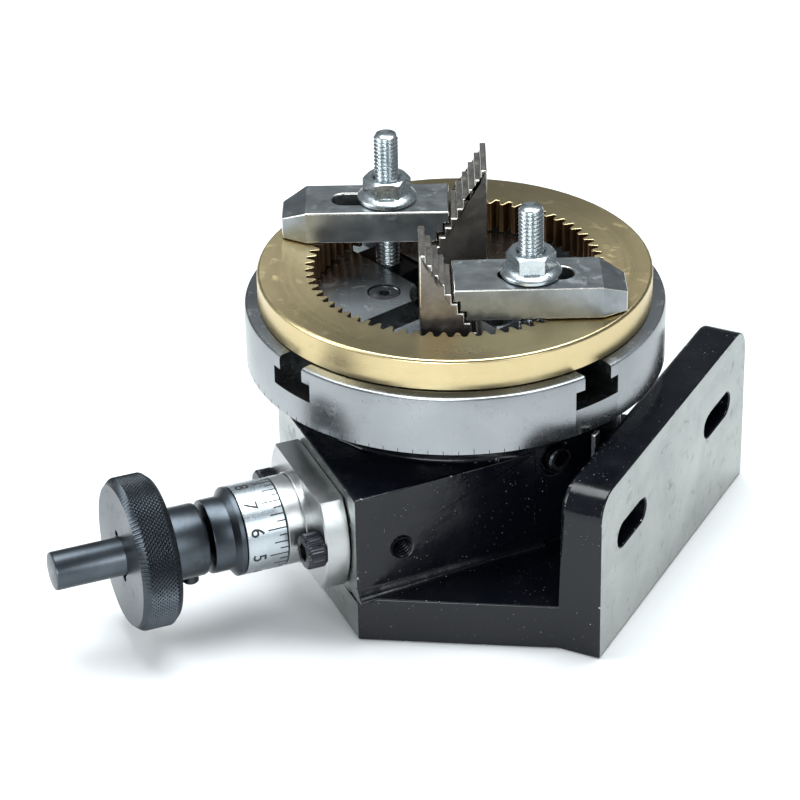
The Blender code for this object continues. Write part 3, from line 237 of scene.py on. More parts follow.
def metal_finish(name, light, dark, roughness, matrix, grain, depth, spread=0.12, cloud_scale=90.0,
                 metallic=1.0, scratches=0.25, marks=(0.02, 0.02, 0.02), mark_share=0.35):
    """A worked metal: clouds of two colours, tool marks of one kind, fine scratches and stains.

    grain is "turned", or three factors that stretch the noise along the local axes.
    """
    material, tree, shader = new_finish(name, light, roughness, metallic)
    point = local_point(tree, matrix)
    if grain == "turned":
        shader.inputs["Anisotropic"].default_value = 0.55
        tree.links.new(around_axis(tree, matrix), shader.inputs["Tangent"])
        tool = noise(tree, ring_vector(tree, point), 5200.0, 3.0, 0.7)
        wide = noise(tree, ring_vector(tree, point), 700.0, 2.0, 0.5)
    else:
        tool = noise(tree, stretched(tree, point, grain), 3000.0, 3.0, 0.7)
        wide = noise(tree, stretched(tree, point, grain), 600.0, 2.0, 0.5)
    cloud = noise(tree, point, cloud_scale, 5.0, 0.6, 0.4)
    nick = noise(tree, stretched(tree, point, (1.0, 0.16, 0.5)), 1900.0, 2.0, 0.6, 0.8)
    nick = between(tree, nick, 0.66, 0.74)
    stain = between(tree, noise(tree, point, 240.0, 6.0, 0.65, 0.8), 0.57, 0.72)
    colour = blend_colour(tree, between(tree, cloud, 0.32, 0.68), dark, light)
    colour = blend_colour(tree, calc(tree, "MULTIPLY", stain, mark_share), colour, marks)
    colour = blend_colour(tree, calc(tree, "MULTIPLY", nick, scratches), colour,
                          tuple(min(1.0, channel * 1.5 + 0.05) for channel in light))
    tree.links.new(colour, shader.inputs["Base Color"])
    mixed = calc(tree, "MULTIPLY_ADD", wide, 0.5, calc(tree, "MULTIPLY_ADD", cloud, 0.5, stain))
    rough = between(tree, mixed, 0.2, 1.2, roughness - spread, roughness + spread)
    tree.links.new(rough, shader.inputs["Roughness"])
    height = calc(tree, "MULTIPLY_ADD", wide, 0.6, tool)
    height = calc(tree, "SUBTRACT", height, calc(tree, "MULTIPLY", nick, 0.5))
    tree.links.new(bump(tree, height, depth), shader.inputs["Normal"])
    return material


print("shader helpers ready")

# %% [markdown]
# ### Black paint over cast iron
# The casting has a thick gloss paint.  It keeps the slow waves of the casting below it and catches
# specks of dust.  On sharp corners the paint thins and the iron shows through, so the bevelled
# edges carry a second finish: the same paint, rubbed through in patches.

# %% Paint, rubbed edges and ground iron
PAINT = (0.0026, 0.0032, 0.0055)
PAINT_ROUGHNESS = 0.22
PAINT_SHINE = 0.34
DUST = (0.45, 0.45, 0.46)
RUBBED_IRON = (0.40, 0.40, 0.39)
IRON_LIGHT = (0.42, 0.44, 0.42)
IRON_DARK = (0.27, 0.29, 0.28)


def paint_nodes(tree, point):
    """Colour, roughness and normal of the gloss paint with its dust."""
    waves = noise(tree, point, 150.0, 2.0, 0.4)
    peel = noise(tree, point, 900.0, 2.0, 0.5)
    dust = between(tree, noise(tree, point, 2300.0, 1.0, 0.4), 0.755, 0.785)
    patch = between(tree, noise(tree, point, 60.0, 2.0), 0.45, 0.62)
    dust = calc(tree, "MULTIPLY", dust, patch)
    colour = blend_colour(tree, calc(tree, "MULTIPLY", dust, 0.8), PAINT, DUST)
    roughness = calc(tree, "MULTIPLY_ADD", dust, 0.4, between(tree, waves, 0.3, 0.7, 0.16, 0.30))
    height = calc(tree, "MULTIPLY_ADD", waves, 3.0, calc(tree, "MULTIPLY_ADD", peel, 0.35, dust))
    return colour, roughness, bump(tree, height, 0.00012, 0.6)


def paint_finish(name, rubbed_through):
    """Gloss paint.  Where it is rubbed through, patches of bare iron show."""
    material, tree, shader = new_finish(name, PAINT, PAINT_ROUGHNESS, 0.0)
    shader.inputs["Specular IOR Level"].default_value = PAINT_SHINE
    point = local_point(tree, Matrix())
    colour, roughness, normal = paint_nodes(tree, point)
    if rubbed_through:
        rubbed = between(tree, noise(tree, point, 520.0, 5.0, 0.7), 0.62, 0.67)
        colour = blend_colour(tree, rubbed, colour, RUBBED_IRON)
        roughness = calc(tree, "MULTIPLY_ADD", rubbed, 0.15, roughness)
        tree.links.new(calc(tree, "MULTIPLY", rubbed, 0.9), shader.inputs["Metallic"])
    for socket, value in (("Base Color", colour), ("Roughness", roughness), ("Normal", normal)):
        tree.links.new(value, shader.inputs[socket])
    return material


black_paint = paint_finish("gloss_black_paint", False)
rubbed_edge = paint_finish("rubbed_paint_edge", True)
ground_iron = metal_finish("ground_iron", IRON_LIGHT, IRON_DARK, 0.36, Matrix(), (0.5, 0.05, 1.0), 0.000012,
                           cloud_scale=40.0, mark_share=0.25)
milled_iron = metal_finish("milled_iron", IRON_LIGHT, IRON_DARK, 0.34, WORM, (0.08, 1.0, 1.0), 0.00001)
print("casting finishes ready")

# %% [markdown]
# ### Turned, plated and blackened metals
# The same recipe gives the other metals, with a local frame for the direction of the tool marks.
# Turned pieces of the worm shaft read the worm's frame, and the table reads its own.
# Each call gives the light and the dark colour, the roughness, the frame, the grain and its depth.

# %% One finish for each kind of metal
EVEN = (1.0, 1.0, 1.0)
turned_steel = metal_finish("turned_steel", (0.34, 0.355, 0.365), (0.27, 0.285, 0.295), 0.27, TABLE, "turned",
                            0.000012, spread=0.06, cloud_scale=35.0, scratches=0.10,
                            marks=(0.25, 0.25, 0.25), mark_share=0.06)
turned_brass = metal_finish("turned_brass", (0.62, 0.505, 0.285), (0.55, 0.44, 0.24), 0.31, TABLE, "turned",
                            0.000008, spread=0.06, cloud_scale=40.0, marks=(0.45, 0.30, 0.12),
                            mark_share=0.07, scratches=0.1)
# A dark brown for the teeth inside the ring: painted shade.
shaded_teeth_brass = metal_finish("painted_shade_brass_teeth", (0.26, 0.15, 0.075), (0.13, 0.075, 0.04), 0.42, TABLE,
                         (1.0, 1.0, 0.1), 0.00001, marks=(0.06, 0.035, 0.02), scratches=0.1)
blackened = metal_finish("black_oxide_steel", (0.080, 0.092, 0.105), (0.050, 0.058, 0.068), 0.33, WORM,
                         "turned", 0.000008, spread=0.06, scratches=0.2, marks=(0.02, 0.022, 0.026),
                         mark_share=0.3)
black_screws = metal_finish("black_oxide_screws", (0.060, 0.062, 0.068), (0.026, 0.027, 0.031), 0.36,
                            Matrix(), EVEN, 0.000008, scratches=0.2)
grey_screws = metal_finish("grey_socket_screws", (0.24, 0.24, 0.25), (0.14, 0.14, 0.15), 0.34, Matrix(),
                           EVEN, 0.000008, scratches=0.2)
satin_chrome = metal_finish("satin_chrome", (0.48, 0.52, 0.55), (0.41, 0.45, 0.48), 0.29, WORM, "turned",
                            0.000004, spread=0.05, scratches=0.06, marks=(0.4, 0.4, 0.4), mark_share=0.1)
sleeve_steel = metal_finish("satin_sleeve_steel", (0.50, 0.51, 0.51), (0.40, 0.41, 0.41), 0.32, WORM,
                            "turned", 0.000006, spread=0.06, scratches=0.10, marks=(0.3, 0.3, 0.29),
                            mark_share=0.15)
inner_steel = metal_finish("machined_steel", (0.50, 0.50, 0.50), (0.36, 0.36, 0.36), 0.34, TABLE, "turned",
                           0.000008)
zinc_plate = metal_finish("zinc_plate", (0.62, 0.67, 0.69), (0.48, 0.53, 0.55), 0.29, Matrix(), EVEN,
                          0.000004, spread=0.06, scratches=0.1, marks=(0.4, 0.38, 0.32), mark_share=0.2)
strap_steel = metal_finish("grey_strap_steel", (0.30, 0.32, 0.33), (0.22, 0.235, 0.245), 0.42,
                           CLAMPS["near"], (0.25, 1.0, 1.0), 0.000012, cloud_scale=220.0,
                           marks=(0.38, 0.39, 0.39), mark_share=0.2)
block_steel = metal_finish("brown_block_steel", (0.26, 0.235, 0.21), (0.15, 0.135, 0.12), 0.46,
                           CLAMPS["near"], (1.0, 1.0, 0.2), 0.00002, cloud_scale=220.0,
                           marks=(0.36, 0.34, 0.31), mark_share=0.3)
# Lighter edge bands: partly worn bright metal, partly a painted highlight along the edges.
edge_wear_and_highlight = metal_finish("worn_metal_and_painted_highlight_edge", (0.66, 0.64, 0.60), (0.44, 0.42, 0.39), 0.30, Matrix(),
                           EVEN, 0.000006, mark_share=0.25)
bronze = metal_finish("machined_bronze", (0.55, 0.33, 0.15), (0.40, 0.23, 0.10), 0.36, TABLE, "turned",
                      0.000008)
engraving = metal_finish("black_engraving", (0.012, 0.012, 0.014), (0.006, 0.006, 0.007), 0.5, Matrix(),
                         EVEN, 0.000003, metallic=0.0, scratches=0.05, mark_share=0.1)
print(len(bpy.data.materials), "materials in the file")

# %% [markdown]
# ## Turning a CAD solid into a finished piece
# The solids of the frame have knife-sharp edges.  A real edge is broken, and that narrow band is
# what catches the light.  This helper copies a solid, welds it, rounds its edges with a Bevel
# modifier and keeps the result as a plain mesh.  The Bevel can give the new band a finish of its own.

# %% Weld, bevel and replace
SHARP = math.radians(32.0)
BEVEL_FROM = math.radians(34.0)
FLAT_WITHIN = math.radians(0.3)
WELD_WITHIN = 0.002 * MM


def shade(mesh, angle=SHARP):
    mesh.shade_smooth()
    mesh.set_sharp_from_angle(angle=angle)


def new_object(name, mesh, *materials):
    item = bpy.data.objects.new(name, mesh)
    bpy.context.collection.objects.link(item)
    for material in materials:
        mesh.materials.append(material)
    return item


def kept(builder, name):
    """Turn a bmesh into a mesh and let the bmesh go."""
    mesh = bpy.data.meshes.new(name)
    builder.to_mesh(mesh)
    builder.free()
    return mesh


def apply_modifiers(item):
    """Swap the mesh for its evaluated result and remove the modifiers."""
    bpy.context.view_layer.update()
    result = bpy.data.meshes.new_from_object(item.evaluated_get(bpy.context.evaluated_depsgraph_get()))
    item.modifiers.clear()
    old_mesh = item.data
    item.data = result
    bpy.data.meshes.remove(old_mesh)
    return item


def welded(node, share):
    """A merged copy of a CAD solid's mesh; each real edge gets its share of the bevel."""
    builder = bmesh.new()
    builder.from_mesh(frame["nodes"][node].data)
    bmesh.ops.remove_doubles(builder, verts=builder.verts, dist=WELD_WITHIN)
    bmesh.ops.dissolve_limit(builder, angle_limit=FLAT_WITHIN, verts=builder.verts, edges=builder.edges)
    weight = builder.edges.layers.float.new("bevel_weight_edge")
    for edge in builder.edges:
        if len(edge.link_faces) == 2 and edge.calc_face_angle() > BEVEL_FROM:
            edge[weight] = share((edge.verts[0].co + edge.verts[1].co) / 2.0) if share else 1.0
    return kept(builder, node)


def place_on_body(item, node):
    """Let a piece stand for a CAD node: it rides with the same body."""
    body = next(name for name, nodes in frame["record"]["behaviour"]["bodies"].items() if node in nodes)
    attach(item, body)


def finished(node, name, material, edge=0.0, edge_material=None, faces=2, share=None, clamp=True):
    """Copy, round and shade a CAD solid, and let it stand for its node."""
    item = new_object(name, welded(node, share), material)
    shade(item.data)
    if edge:
        modifier = item.modifiers.new("round_edges", "BEVEL")
        modifier.width = edge
        modifier.segments = faces
        modifier.limit_method = "WEIGHT"
        modifier.use_clamp_overlap = clamp
        if edge_material is not None:
            item.data.materials.append(edge_material)
            modifier.material = 1
        normals = item.modifiers.new("flat_faces_stay_flat", "WEIGHTED_NORMAL")
        normals.keep_sharp = True
        normals.weight = 80
        apply_modifiers(item)
    place_on_body(item, node)
    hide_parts(node)
    print(name, "has", len(item.data.polygons), "faces")
    return item


def paint_faces(item, index, test):
    """Give one material slot to the faces that pass a test on their middle and normal."""
    for face in item.data.polygons:
        if test(face.center, face.normal):
            face.material_index = index


print("edges sharper than", round(math.degrees(BEVEL_FROM)), "degrees can be bevelled")

# %% [markdown]
# ## The casting
# The real one is cast, painted all over, and then milled where other pieces meet it.  So the
# flange's outer face, the foot and the worm face are bare iron, and everything else is painted.
# A cast edge is soft and a milled edge is crisp: each edge gets its own share of one bevel.

# %% Casting with soft cast edges and bare faces
FLANGE_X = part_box("base_casting")[1][0]
FLANGE_INNER_X = FLANGE_X - 10.2 * MM
FOOT_TOP = 12.0 * MM
HOUSING_TOP = 37.4 * MM
SLOT_HEIGHT = 26.3 * MM
SLOT_HALF = 4.0 * MM
SLOT_ENDS = (17.0 * MM, 36.5 * MM)
CAST_EDGE = 1.2 * MM
SAME_PLANE = 0.1 * MM
SAME_WAY = 0.99
WORM_OUT = WORM.col[2].xyz
WORM_SIDE = WORM.col[0].xyz
WORM_FACE = span_along("worm_sleeve", WORM)[0] + 25.5 * MM
SIDE_HOLE = WORM_OUT * 31.5 * MM + WORM_SIDE * 43.6 * MM + UP * 22.0 * MM


def casting_share(middle):
    """The share of the bevel that an edge gets, from the edge's middle."""
    in_slot = abs(middle.z - SLOT_HEIGHT) < SLOT_HALF and SLOT_ENDS[0] < abs(middle.y) < SLOT_ENDS[1]
    on_worm_face = middle.dot(WORM_OUT) > WORM_FACE - SAME_PLANE
    on_housing_top = abs(middle.z - HOUSING_TOP) < SAME_PLANE
    if abs(middle.x - FLANGE_INNER_X) < SAME_PLANE and middle.z > FOOT_TOP and not in_slot:
        return 1.0
    if on_worm_face and FOOT_TOP - 1.0 * MM < middle.z < FOOT_TOP + 2.0 * MM:
        return 0.05
    if on_housing_top and middle.x > 30.0 * MM:
        return 0.0
    if on_housing_top and middle.dot(WORM_SIDE) > 20.0 * MM and not on_worm_face:
        return 0.8
    return 0.3


casting = finished("base_casting", "painted_casting", black_paint, CAST_EDGE, rubbed_edge, 3, casting_share,
                   clamp=False)
casting.data.materials.append(ground_iron)
casting.data.materials.append(milled_iron)
paint_faces(casting, 2, lambda middle, normal: normal.x > SAME_WAY and middle.x > FLANGE_X - SAME_PLANE)
paint_faces(casting, 2, lambda middle, normal: normal.z < -SAME_WAY and middle.z < SAME_PLANE)
paint_faces(casting, 3, lambda middle, normal: normal.dot(WORM_OUT) > SAME_WAY
            and middle.dot(WORM_OUT) > WORM_FACE - SAME_PLANE)
print("worm face stands", round(WORM_FACE / MM, 2), "mm from the table's axis")

# %% [markdown]
# ## Ring, clamp pieces and inner pieces
# These shapes are already right in the frame, so they keep it and get their own finish.  The
# pieces that show get rounded edges too.  The ring's teeth were cut after it was turned.  The
# faces inside the ring get a darker brown finish of their own: painted shade on the teeth.

# %% Finished copies of the plain solids
RING_WALL = 11.3 * MM
ring = finished("ring_gear", "brass_ring", turned_brass, 0.18 * MM)
ring.data.materials.append(shaded_teeth_brass)
ring_hole = reach_around("ring_gear", TABLE) - RING_WALL
# Painted shade: the faces inside the ring, on the teeth, take the dark brown finish.
paint_faces(ring, 1, lambda middle, normal: middle.xy.length < ring_hole and abs(normal.z) < 0.6)
# The bevels of the straps, blocks and index tab get a lighter band: partly wear, partly painted highlight.
for label in ("near", "far"):
    finished("clamp_strap_" + label, "slotted_strap_" + label, strap_steel, 0.3 * MM, edge_wear_and_highlight)
    finished("step_block_" + label, "stepped_block_" + label, block_steel, 0.3 * MM, edge_wear_and_highlight, clamp=False)
    finished("t_nut_" + label, "tee_nut_" + label, black_screws, 0.25 * MM)
finished("zero_index", "zero_index_tab", black_screws, 0.2 * MM, edge_wear_and_highlight)
finished("bottom_cover", "bottom_cover_piece", black_screws, 0.3 * MM)
PLAIN = {black_screws: ["handwheel_set_screw", "lock_screw", "ring_nut"], turned_brass: ["lock_pad"],
         inner_steel: ["dial_spring", "spindle", "wheel_key", "thrust_washer"],
         bronze: ["worm_wheel", "inner_bush", "outer_bush", "rear_bush"],
         grey_screws: ["table_screw_%d" % number for number in range(1, 5)],
         zinc_plate: ["cover_screw_%d" % number for number in range(1, 4)]}
for material, nodes in PLAIN.items():
    for node in nodes:
        finished(node, node + "_piece", material)

# %% [markdown]
# ## Relief that repeats: threads, knurling and flutes
# A thread, a diamond knurl and the flutes of a screw head are one idea.  A wave runs around a
# turned blank, leans along its axis, and pulls the surface inwards.  One Geometry Nodes tree does
# all three: it has one family of grooves, and a second that leans the other way for a knurl.

# %% A Geometry Nodes tree that cuts relief into a turned blank
def new_tree(name, whole_numbers, numbers):
    """A tree with a geometry, named numbers and a finish as its inputs."""
    tree = bpy.data.node_groups.new(name, "GeometryNodeTree")
    sockets = [("Geometry", "Geometry")] + [(label, "Int") for label in whole_numbers]
    sockets += [(label, "Float") for label in numbers] + [("Finish", "Material")]
    for label, kind in sockets:
        tree.interface.new_socket(label, in_out="INPUT", socket_type="NodeSocket" + kind)
    tree.interface.new_socket("Geometry", in_out="OUTPUT", socket_type="NodeSocketGeometry")
    return tree, add(tree, "NodeGroupInput").outputs


def close_tree(tree, given, shape):
    """Make the result one real mesh in its finish."""
    solid = add(tree, "GeometryNodeRealizeInstances", (shape.outputs[0],))
    coated = add(tree, "GeometryNodeSetMaterial", {"Geometry": solid.outputs[0], "Material": given["Finish"]})
    add(tree, "NodeGroupOutput", (coated.outputs[0],))
    return tree


def relief_tree():
    tree, given = new_tree("Cut relief", (), ("Radius from", "Low", "High", "Grooves", "Lean", "Crossed",
                                              "Depth"))
    parts = add(tree, "ShaderNodeSeparateXYZ", (add(tree, "GeometryNodeInputPosition").outputs[0],)).outputs
    radius = radius_of(tree, parts)
    turns = calc(tree, "DIVIDE", calc(tree, "ARCTAN2", parts[1], parts[0]), 2.0 * math.pi)
    around = calc(tree, "MULTIPLY", turns, given["Grooves"])
    along = calc(tree, "MULTIPLY", parts[2], given["Lean"])
    first = triangle_wave(tree, calc(tree, "SUBTRACT", around, along))
    second = triangle_wave(tree, calc(tree, "ADD", around, along))
    second = calc(tree, "MAXIMUM", second, calc(tree, "SUBTRACT", 1.0, given["Crossed"]))
    sunk = calc(tree, "SUBTRACT", calc(tree, "MINIMUM", first, second), 1.0)
    inside = calc(tree, "MULTIPLY", calc(tree, "GREATER_THAN", parts[2], given["Low"]),
                  calc(tree, "LESS_THAN", parts[2], given["High"]))
    inside = calc(tree, "MULTIPLY", inside, calc(tree, "GREATER_THAN", radius, given["Radius from"]))
    pulled = calc(tree, "MULTIPLY", calc(tree, "MULTIPLY", sunk, inside), given["Depth"])
    amount = calc(tree, "DIVIDE", pulled, calc(tree, "MAXIMUM", radius, 0.00001))
    move = add(tree, "ShaderNodeCombineXYZ", (calc(tree, "MULTIPLY", parts[0], amount),
                                              calc(tree, "MULTIPLY", parts[1], amount), 0.0))
    shape = add(tree, "GeometryNodeSetPosition", {"Geometry": given["Geometry"], "Offset": move.outputs[0]})
    return close_tree(tree, given, shape)


def run_tree(item, tree, values):
    """Add the tree as a modifier, set its inputs by socket identifier, and keep the result.

    The values have the inputs' names, in small letters and with underscores.
    """
    values = {key.replace("_", " ").capitalize(): value for key, value in values.items()}
    modifier = item.modifiers.new(tree.name, "NODES")
    modifier.node_group = tree
    for entry in tree.interface.items_tree:
        if entry.item_type == "SOCKET" and entry.in_out == "INPUT" and entry.name in values:
            modifier[entry.identifier] = values[entry.name]
    return apply_modifiers(item)


def relief(item, **values):
    """Cut grooves into a blank; an input that isn't given keeps its plain value."""
    plain = {"radius_from": 0.0, "grooves": 1.0, "lean": 0.0, "crossed": 0.0}
    return run_tree(item, CUT_RELIEF, {**plain, **values})


CUT_RELIEF = relief_tree()
print("relief tree has", len(CUT_RELIEF.nodes), "nodes")


def blank_mesh(name, profile, facets):
    """A turned blank about local Z from (radius, height) points; radius 0 closes an end."""
    builder = bmesh.new()
    rows = []
    for radius, height in profile:
        count = facets if radius > 0.0 else 1
        rows.append([builder.verts.new((radius * math.cos(2.0 * math.pi * k / facets),
                                        radius * math.sin(2.0 * math.pi * k / facets), height))
                     for k in range(count)])
    closed = profile[0][0] > 0.0
    pairs = list(zip(rows, rows[1:])) + ([(rows[-1], rows[0])] if closed else [])
    for low, high in pairs:
        for k in range(facets):
            after = (k + 1) % facets
            if len(low) == 1:
                builder.faces.new((low[0], high[after], high[k]))
            elif len(high) == 1:
                builder.faces.new((low[k], low[after], high[0]))
            else:
                builder.faces.new((low[k], low[after], high[after], high[k]))
    bmesh.ops.recalc_face_normals(builder, faces=builder.faces)
    return kept(builder, name)


def turned(name, profile, facets):
    """A turned blank as an object."""
    return new_object(name, blank_mesh(name, profile, facets))


def rod(radius, low, high):
    """The profile of a plain rod."""
    return [(0.0, low), (radius, low), (radius, high), (0.0, high)]


def steps(low, high, size):
    """Evenly spaced heights from low to high, no further apart than size."""
    count = max(1, math.ceil((high - low) / size))
    return [low + (high - low) * k / count for k in range(count + 1)]


def hexagon(across, low, high, name):
    """An upright hexagonal prism used to cut a socket or to shape a nut."""
    return turned(name, rod(across / 2.0 / math.cos(math.pi / 6.0), low, high), 6)


def boolean(item, other, operation):
    modifier = item.modifiers.new(operation, "BOOLEAN")
    modifier.operation = operation
    modifier.solver = "EXACT"
    modifier.object = other
    apply_modifiers(item)
    bpy.data.objects.remove(other, do_unlink=True)
    return item


def install(item, matrix, node, material=None, sharp=SHARP):
    """Move a finished piece into place and let it stand for its node."""
    item.data.transform(matrix)
    if material is not None:
        item.data.materials.clear()
        item.data.materials.append(material)
    shade(item.data, sharp)
    place_on_body(item, node)
    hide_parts(node)
    print(item.name, "has", len(item.data.polygons), "faces")
    return item


# %% [markdown]
# ## Studs
# A stud is a rod with a rolled thread of 1 mm pitch.  It could be a swept spiral, but a wave in a
# blank needs no seam.  The rows of the blank stand eight to a pitch, so the wave has room for a
# crest and a root.

# %% Threaded studs
THREAD_PITCH = 1.0 * MM
THREAD_DEPTH = 0.6 * MM
THREAD_ROWS = 8.0
THREAD_SHARP = math.radians(80.0)


def threaded_stud(label):
    low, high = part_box("stud_" + label)
    radius = (high[0] - low[0]) / 2.0
    bottom, top = low[2], high[2]
    tip = 0.55 * MM
    heights = steps(bottom + tip, top - tip, THREAD_PITCH / THREAD_ROWS)
    profile = [(0.0, bottom), (radius - tip, bottom)] + [(radius, height) for height in heights]
    profile += [(radius - tip, top), (0.0, top)]
    stud = turned("threaded_stud_" + label, profile, 48)
    relief(stud, radius_from=radius * 0.9, low=bottom, high=top, lean=1.0 / THREAD_PITCH, depth=THREAD_DEPTH,
           finish=zinc_plate)
    install(stud, Matrix.Translation(stud_place("stud_" + label)), "stud_" + label, sharp=THREAD_SHARP)


threaded_stud("near")
threaded_stud("far")

# %% [markdown]
# ## The open hole
# The housing's side has a tapped hole with no screw in it.  Cutting a thread into the casting would
# need a very fine mesh, so a thin threaded liner lies in the plain hole instead.

# %% Thread of the open hole in the housing's side
LINER_INNER, LINER_OUTER = 2.25 * MM, 2.8 * MM
LINER_MOUTH, LINER_DEEP = -0.35 * MM, -9.5 * MM
LINER_THREAD = 0.45 * MM


def tapped_hole():
    """A threaded liner: the relief tree pushes outwards when its depth is negative."""
    run_out, lead_in = 0.4 * MM, 0.3 * MM
    heights = steps(LINER_DEEP + run_out, LINER_MOUTH - run_out, THREAD_PITCH / THREAD_ROWS)
    profile = [(LINER_OUTER, LINER_DEEP), (LINER_OUTER, LINER_MOUTH),
               (LINER_INNER + LINER_THREAD, LINER_MOUTH)]
    profile += [(LINER_INNER, height) for height in reversed(heights)]
    profile += [(LINER_INNER + lead_in, LINER_DEEP)]
    liner = turned("tapped_side_hole", profile, 36)
    relief(liner, low=LINER_DEEP + run_out / 2.0, high=LINER_MOUTH - run_out / 2.0, lean=1.0 / THREAD_PITCH,
           depth=-LINER_THREAD, finish=black_screws)
    liner.data.transform(shaft_frame(SIDE_HOLE, WORM_SIDE))
    shade(liner.data, THREAD_SHARP)
    place_on_body(liner, "base_casting")
    print("tapped hole has", len(liner.data.polygons), "faces")


tapped_hole()

# %% [markdown]
# ## Flange nuts
# A flange nut is forged: a hexagon whose top corners are turned off, on a dished flange.  The
# corners come out exactly when the hexagon is intersected with a chamfered disc.

# %% Flange nuts
NUT_ACROSS = 10.0 * MM
NUT_FLANGE = 7.1 * MM
NUT_BORE = 3.15 * MM
NUT_ROUND = 96


def flange_nut(label):
    low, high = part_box("flange_nut_" + label)
    seat, top = low[2], high[2]
    edge, overlap, dish_top = 0.2 * MM, 0.1 * MM, seat + 2.0 * MM
    corner = NUT_ACROSS / 2.0 / math.cos(math.pi / 6.0) + overlap
    dish = turned("flange_nut_%s_piece" % label, [
        (0.0, seat), (NUT_FLANGE - edge, seat), (NUT_FLANGE, seat + 0.25 * MM), (NUT_FLANGE, seat + 0.9 * MM),
        (NUT_FLANGE - edge, seat + 1.15 * MM), (5.3 * MM, dish_top), (0.0, dish_top)], NUT_ROUND)
    turned_top = turned("nut_top", [
        (0.0, seat + 0.5 * MM), (corner, seat + 0.5 * MM), (corner, top - 0.7 * MM),
        (NUT_ACROSS / 2.0 - edge, top), (0.0, top)], NUT_ROUND)
    boolean(turned_top, hexagon(NUT_ACROSS, seat + 0.4 * MM, top + 1.0 * MM, "hexagon"), "INTERSECT")
    boolean(dish, turned_top, "UNION")
    hole = turned("nut_thread", [
        (0.0, seat - 1.0 * MM), (NUT_BORE, seat - 1.0 * MM), (NUT_BORE, top - 0.5 * MM),
        (NUT_BORE + 0.6 * MM, top + overlap), (0.0, top + overlap)], 48)
    boolean(dish, hole, "DIFFERENCE")
    install(dish, CLAMPS[label], "flange_nut_" + label, zinc_plate)


flange_nut("near")
flange_nut("far")

# %% [markdown]
# ## The table
# The real table is turned from a steel bar, and two T-slots are milled across it.  This one is made
# in the same order: a turned disc, then the slots and the countersunk holes are cut out of it.  The
# disc has many facets, so that its rim stays round beside the crisp edges of the slots.

# %% Turned table with T-slots
def upright_box(name, low, high):
    """A box between two corners, as a cutter."""
    corners = [(x, y, z) for x in (low[0], high[0]) for y in (low[1], high[1]) for z in (low[2], high[2])]
    mesh = bpy.data.meshes.new(name)
    mesh.from_pydata(corners, [], [(0, 1, 3, 2), (4, 6, 7, 5), (0, 4, 5, 1), (2, 3, 7, 6), (0, 2, 6, 4),
                                   (1, 5, 7, 3)])
    return new_object(name, mesh)


TABLE_BORE = 10.0 * MM
TABLE_ROUND = 288
SLOT_NECK = (4.0 * MM, 3.9 * MM, 2.0 * MM)
SLOT_TEE = (6.5 * MM, 8.1 * MM, -3.5 * MM)
SINK_CIRCLE = 16.9 * MM
SINK_HOLE, SINK_MOUTH = 2.3 * MM, 4.0 * MM


def turned_table():
    """Each slot is cut twice, by half width, depth of its floor and height of the cutter's top."""
    low, top = (corner[2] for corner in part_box("table_disc"))
    radius, bore, edge, lip = reach_around("table_disc", TABLE), TABLE_BORE, 0.8 * MM, 0.45 * MM
    profile = [(bore, low), (radius - lip, low), (radius, low + lip)]
    profile += [(radius, top - edge), (radius - edge * 0.3, top - edge * 0.3), (radius - edge, top),
                (bore + edge, top), (bore, top - edge)]
    disc = turned("turned_table", profile, TABLE_ROUND)
    past = radius + 2.0 * MM
    for turn in (0.0, math.radians(90.0)):
        for half, floor, roof in (SLOT_NECK, SLOT_TEE):
            cutter = upright_box("slot", (-past, -half, top - floor), (past, half, top + roof))
            cutter.data.transform(Matrix.Rotation(turn, 4, "Z"))
            boolean(disc, cutter, "DIFFERENCE")
    for index in range(4):
        hole = turned("sink", [
            (0.0, low - 1.0 * MM), (SINK_HOLE, low - 1.0 * MM), (SINK_HOLE, top - 2.6 * MM),
            (SINK_MOUTH, top - 0.6 * MM), (SINK_MOUTH, top + 1.0 * MM), (0.0, top + 1.0 * MM)], 48)
        turn = Matrix.Rotation(math.radians(45.0 + 90.0 * index), 4, "Z")
        hole.data.transform(turn @ Matrix.Translation((SINK_CIRCLE, 0.0, 0.0)))
        boolean(disc, hole, "DIFFERENCE")
    install(disc, TABLE, "table_disc", turned_steel)


turned_table()

# %% [markdown]
# ## The worm's sleeve
# The plate is a turned disc with two flats, and the nose is turned in one piece with it.  The nose
# carries the zero line for the dial, and its bore carries the worm's bushes.

# %% Sleeve with its plate
SLEEVE_RADIUS = 10.5 * MM
COLLAR_ROUND = 10.85 * MM
PLATE_RADIUS, PLATE_FLAT = 18.6 * MM, 11.5 * MM
PLATE_FROM, PLATE_TO = 0.2 * MM, 6.2 * MM
SCREW_REACH, SCREW_HOLE = 15.3 * MM, 2.75 * MM
BUSH_SEAT, SHAFT_BORE = 6.75 * MM, 5.2 * MM
BORE_FROM, BORE_TO = 28.0 * MM, 45.0 * MM


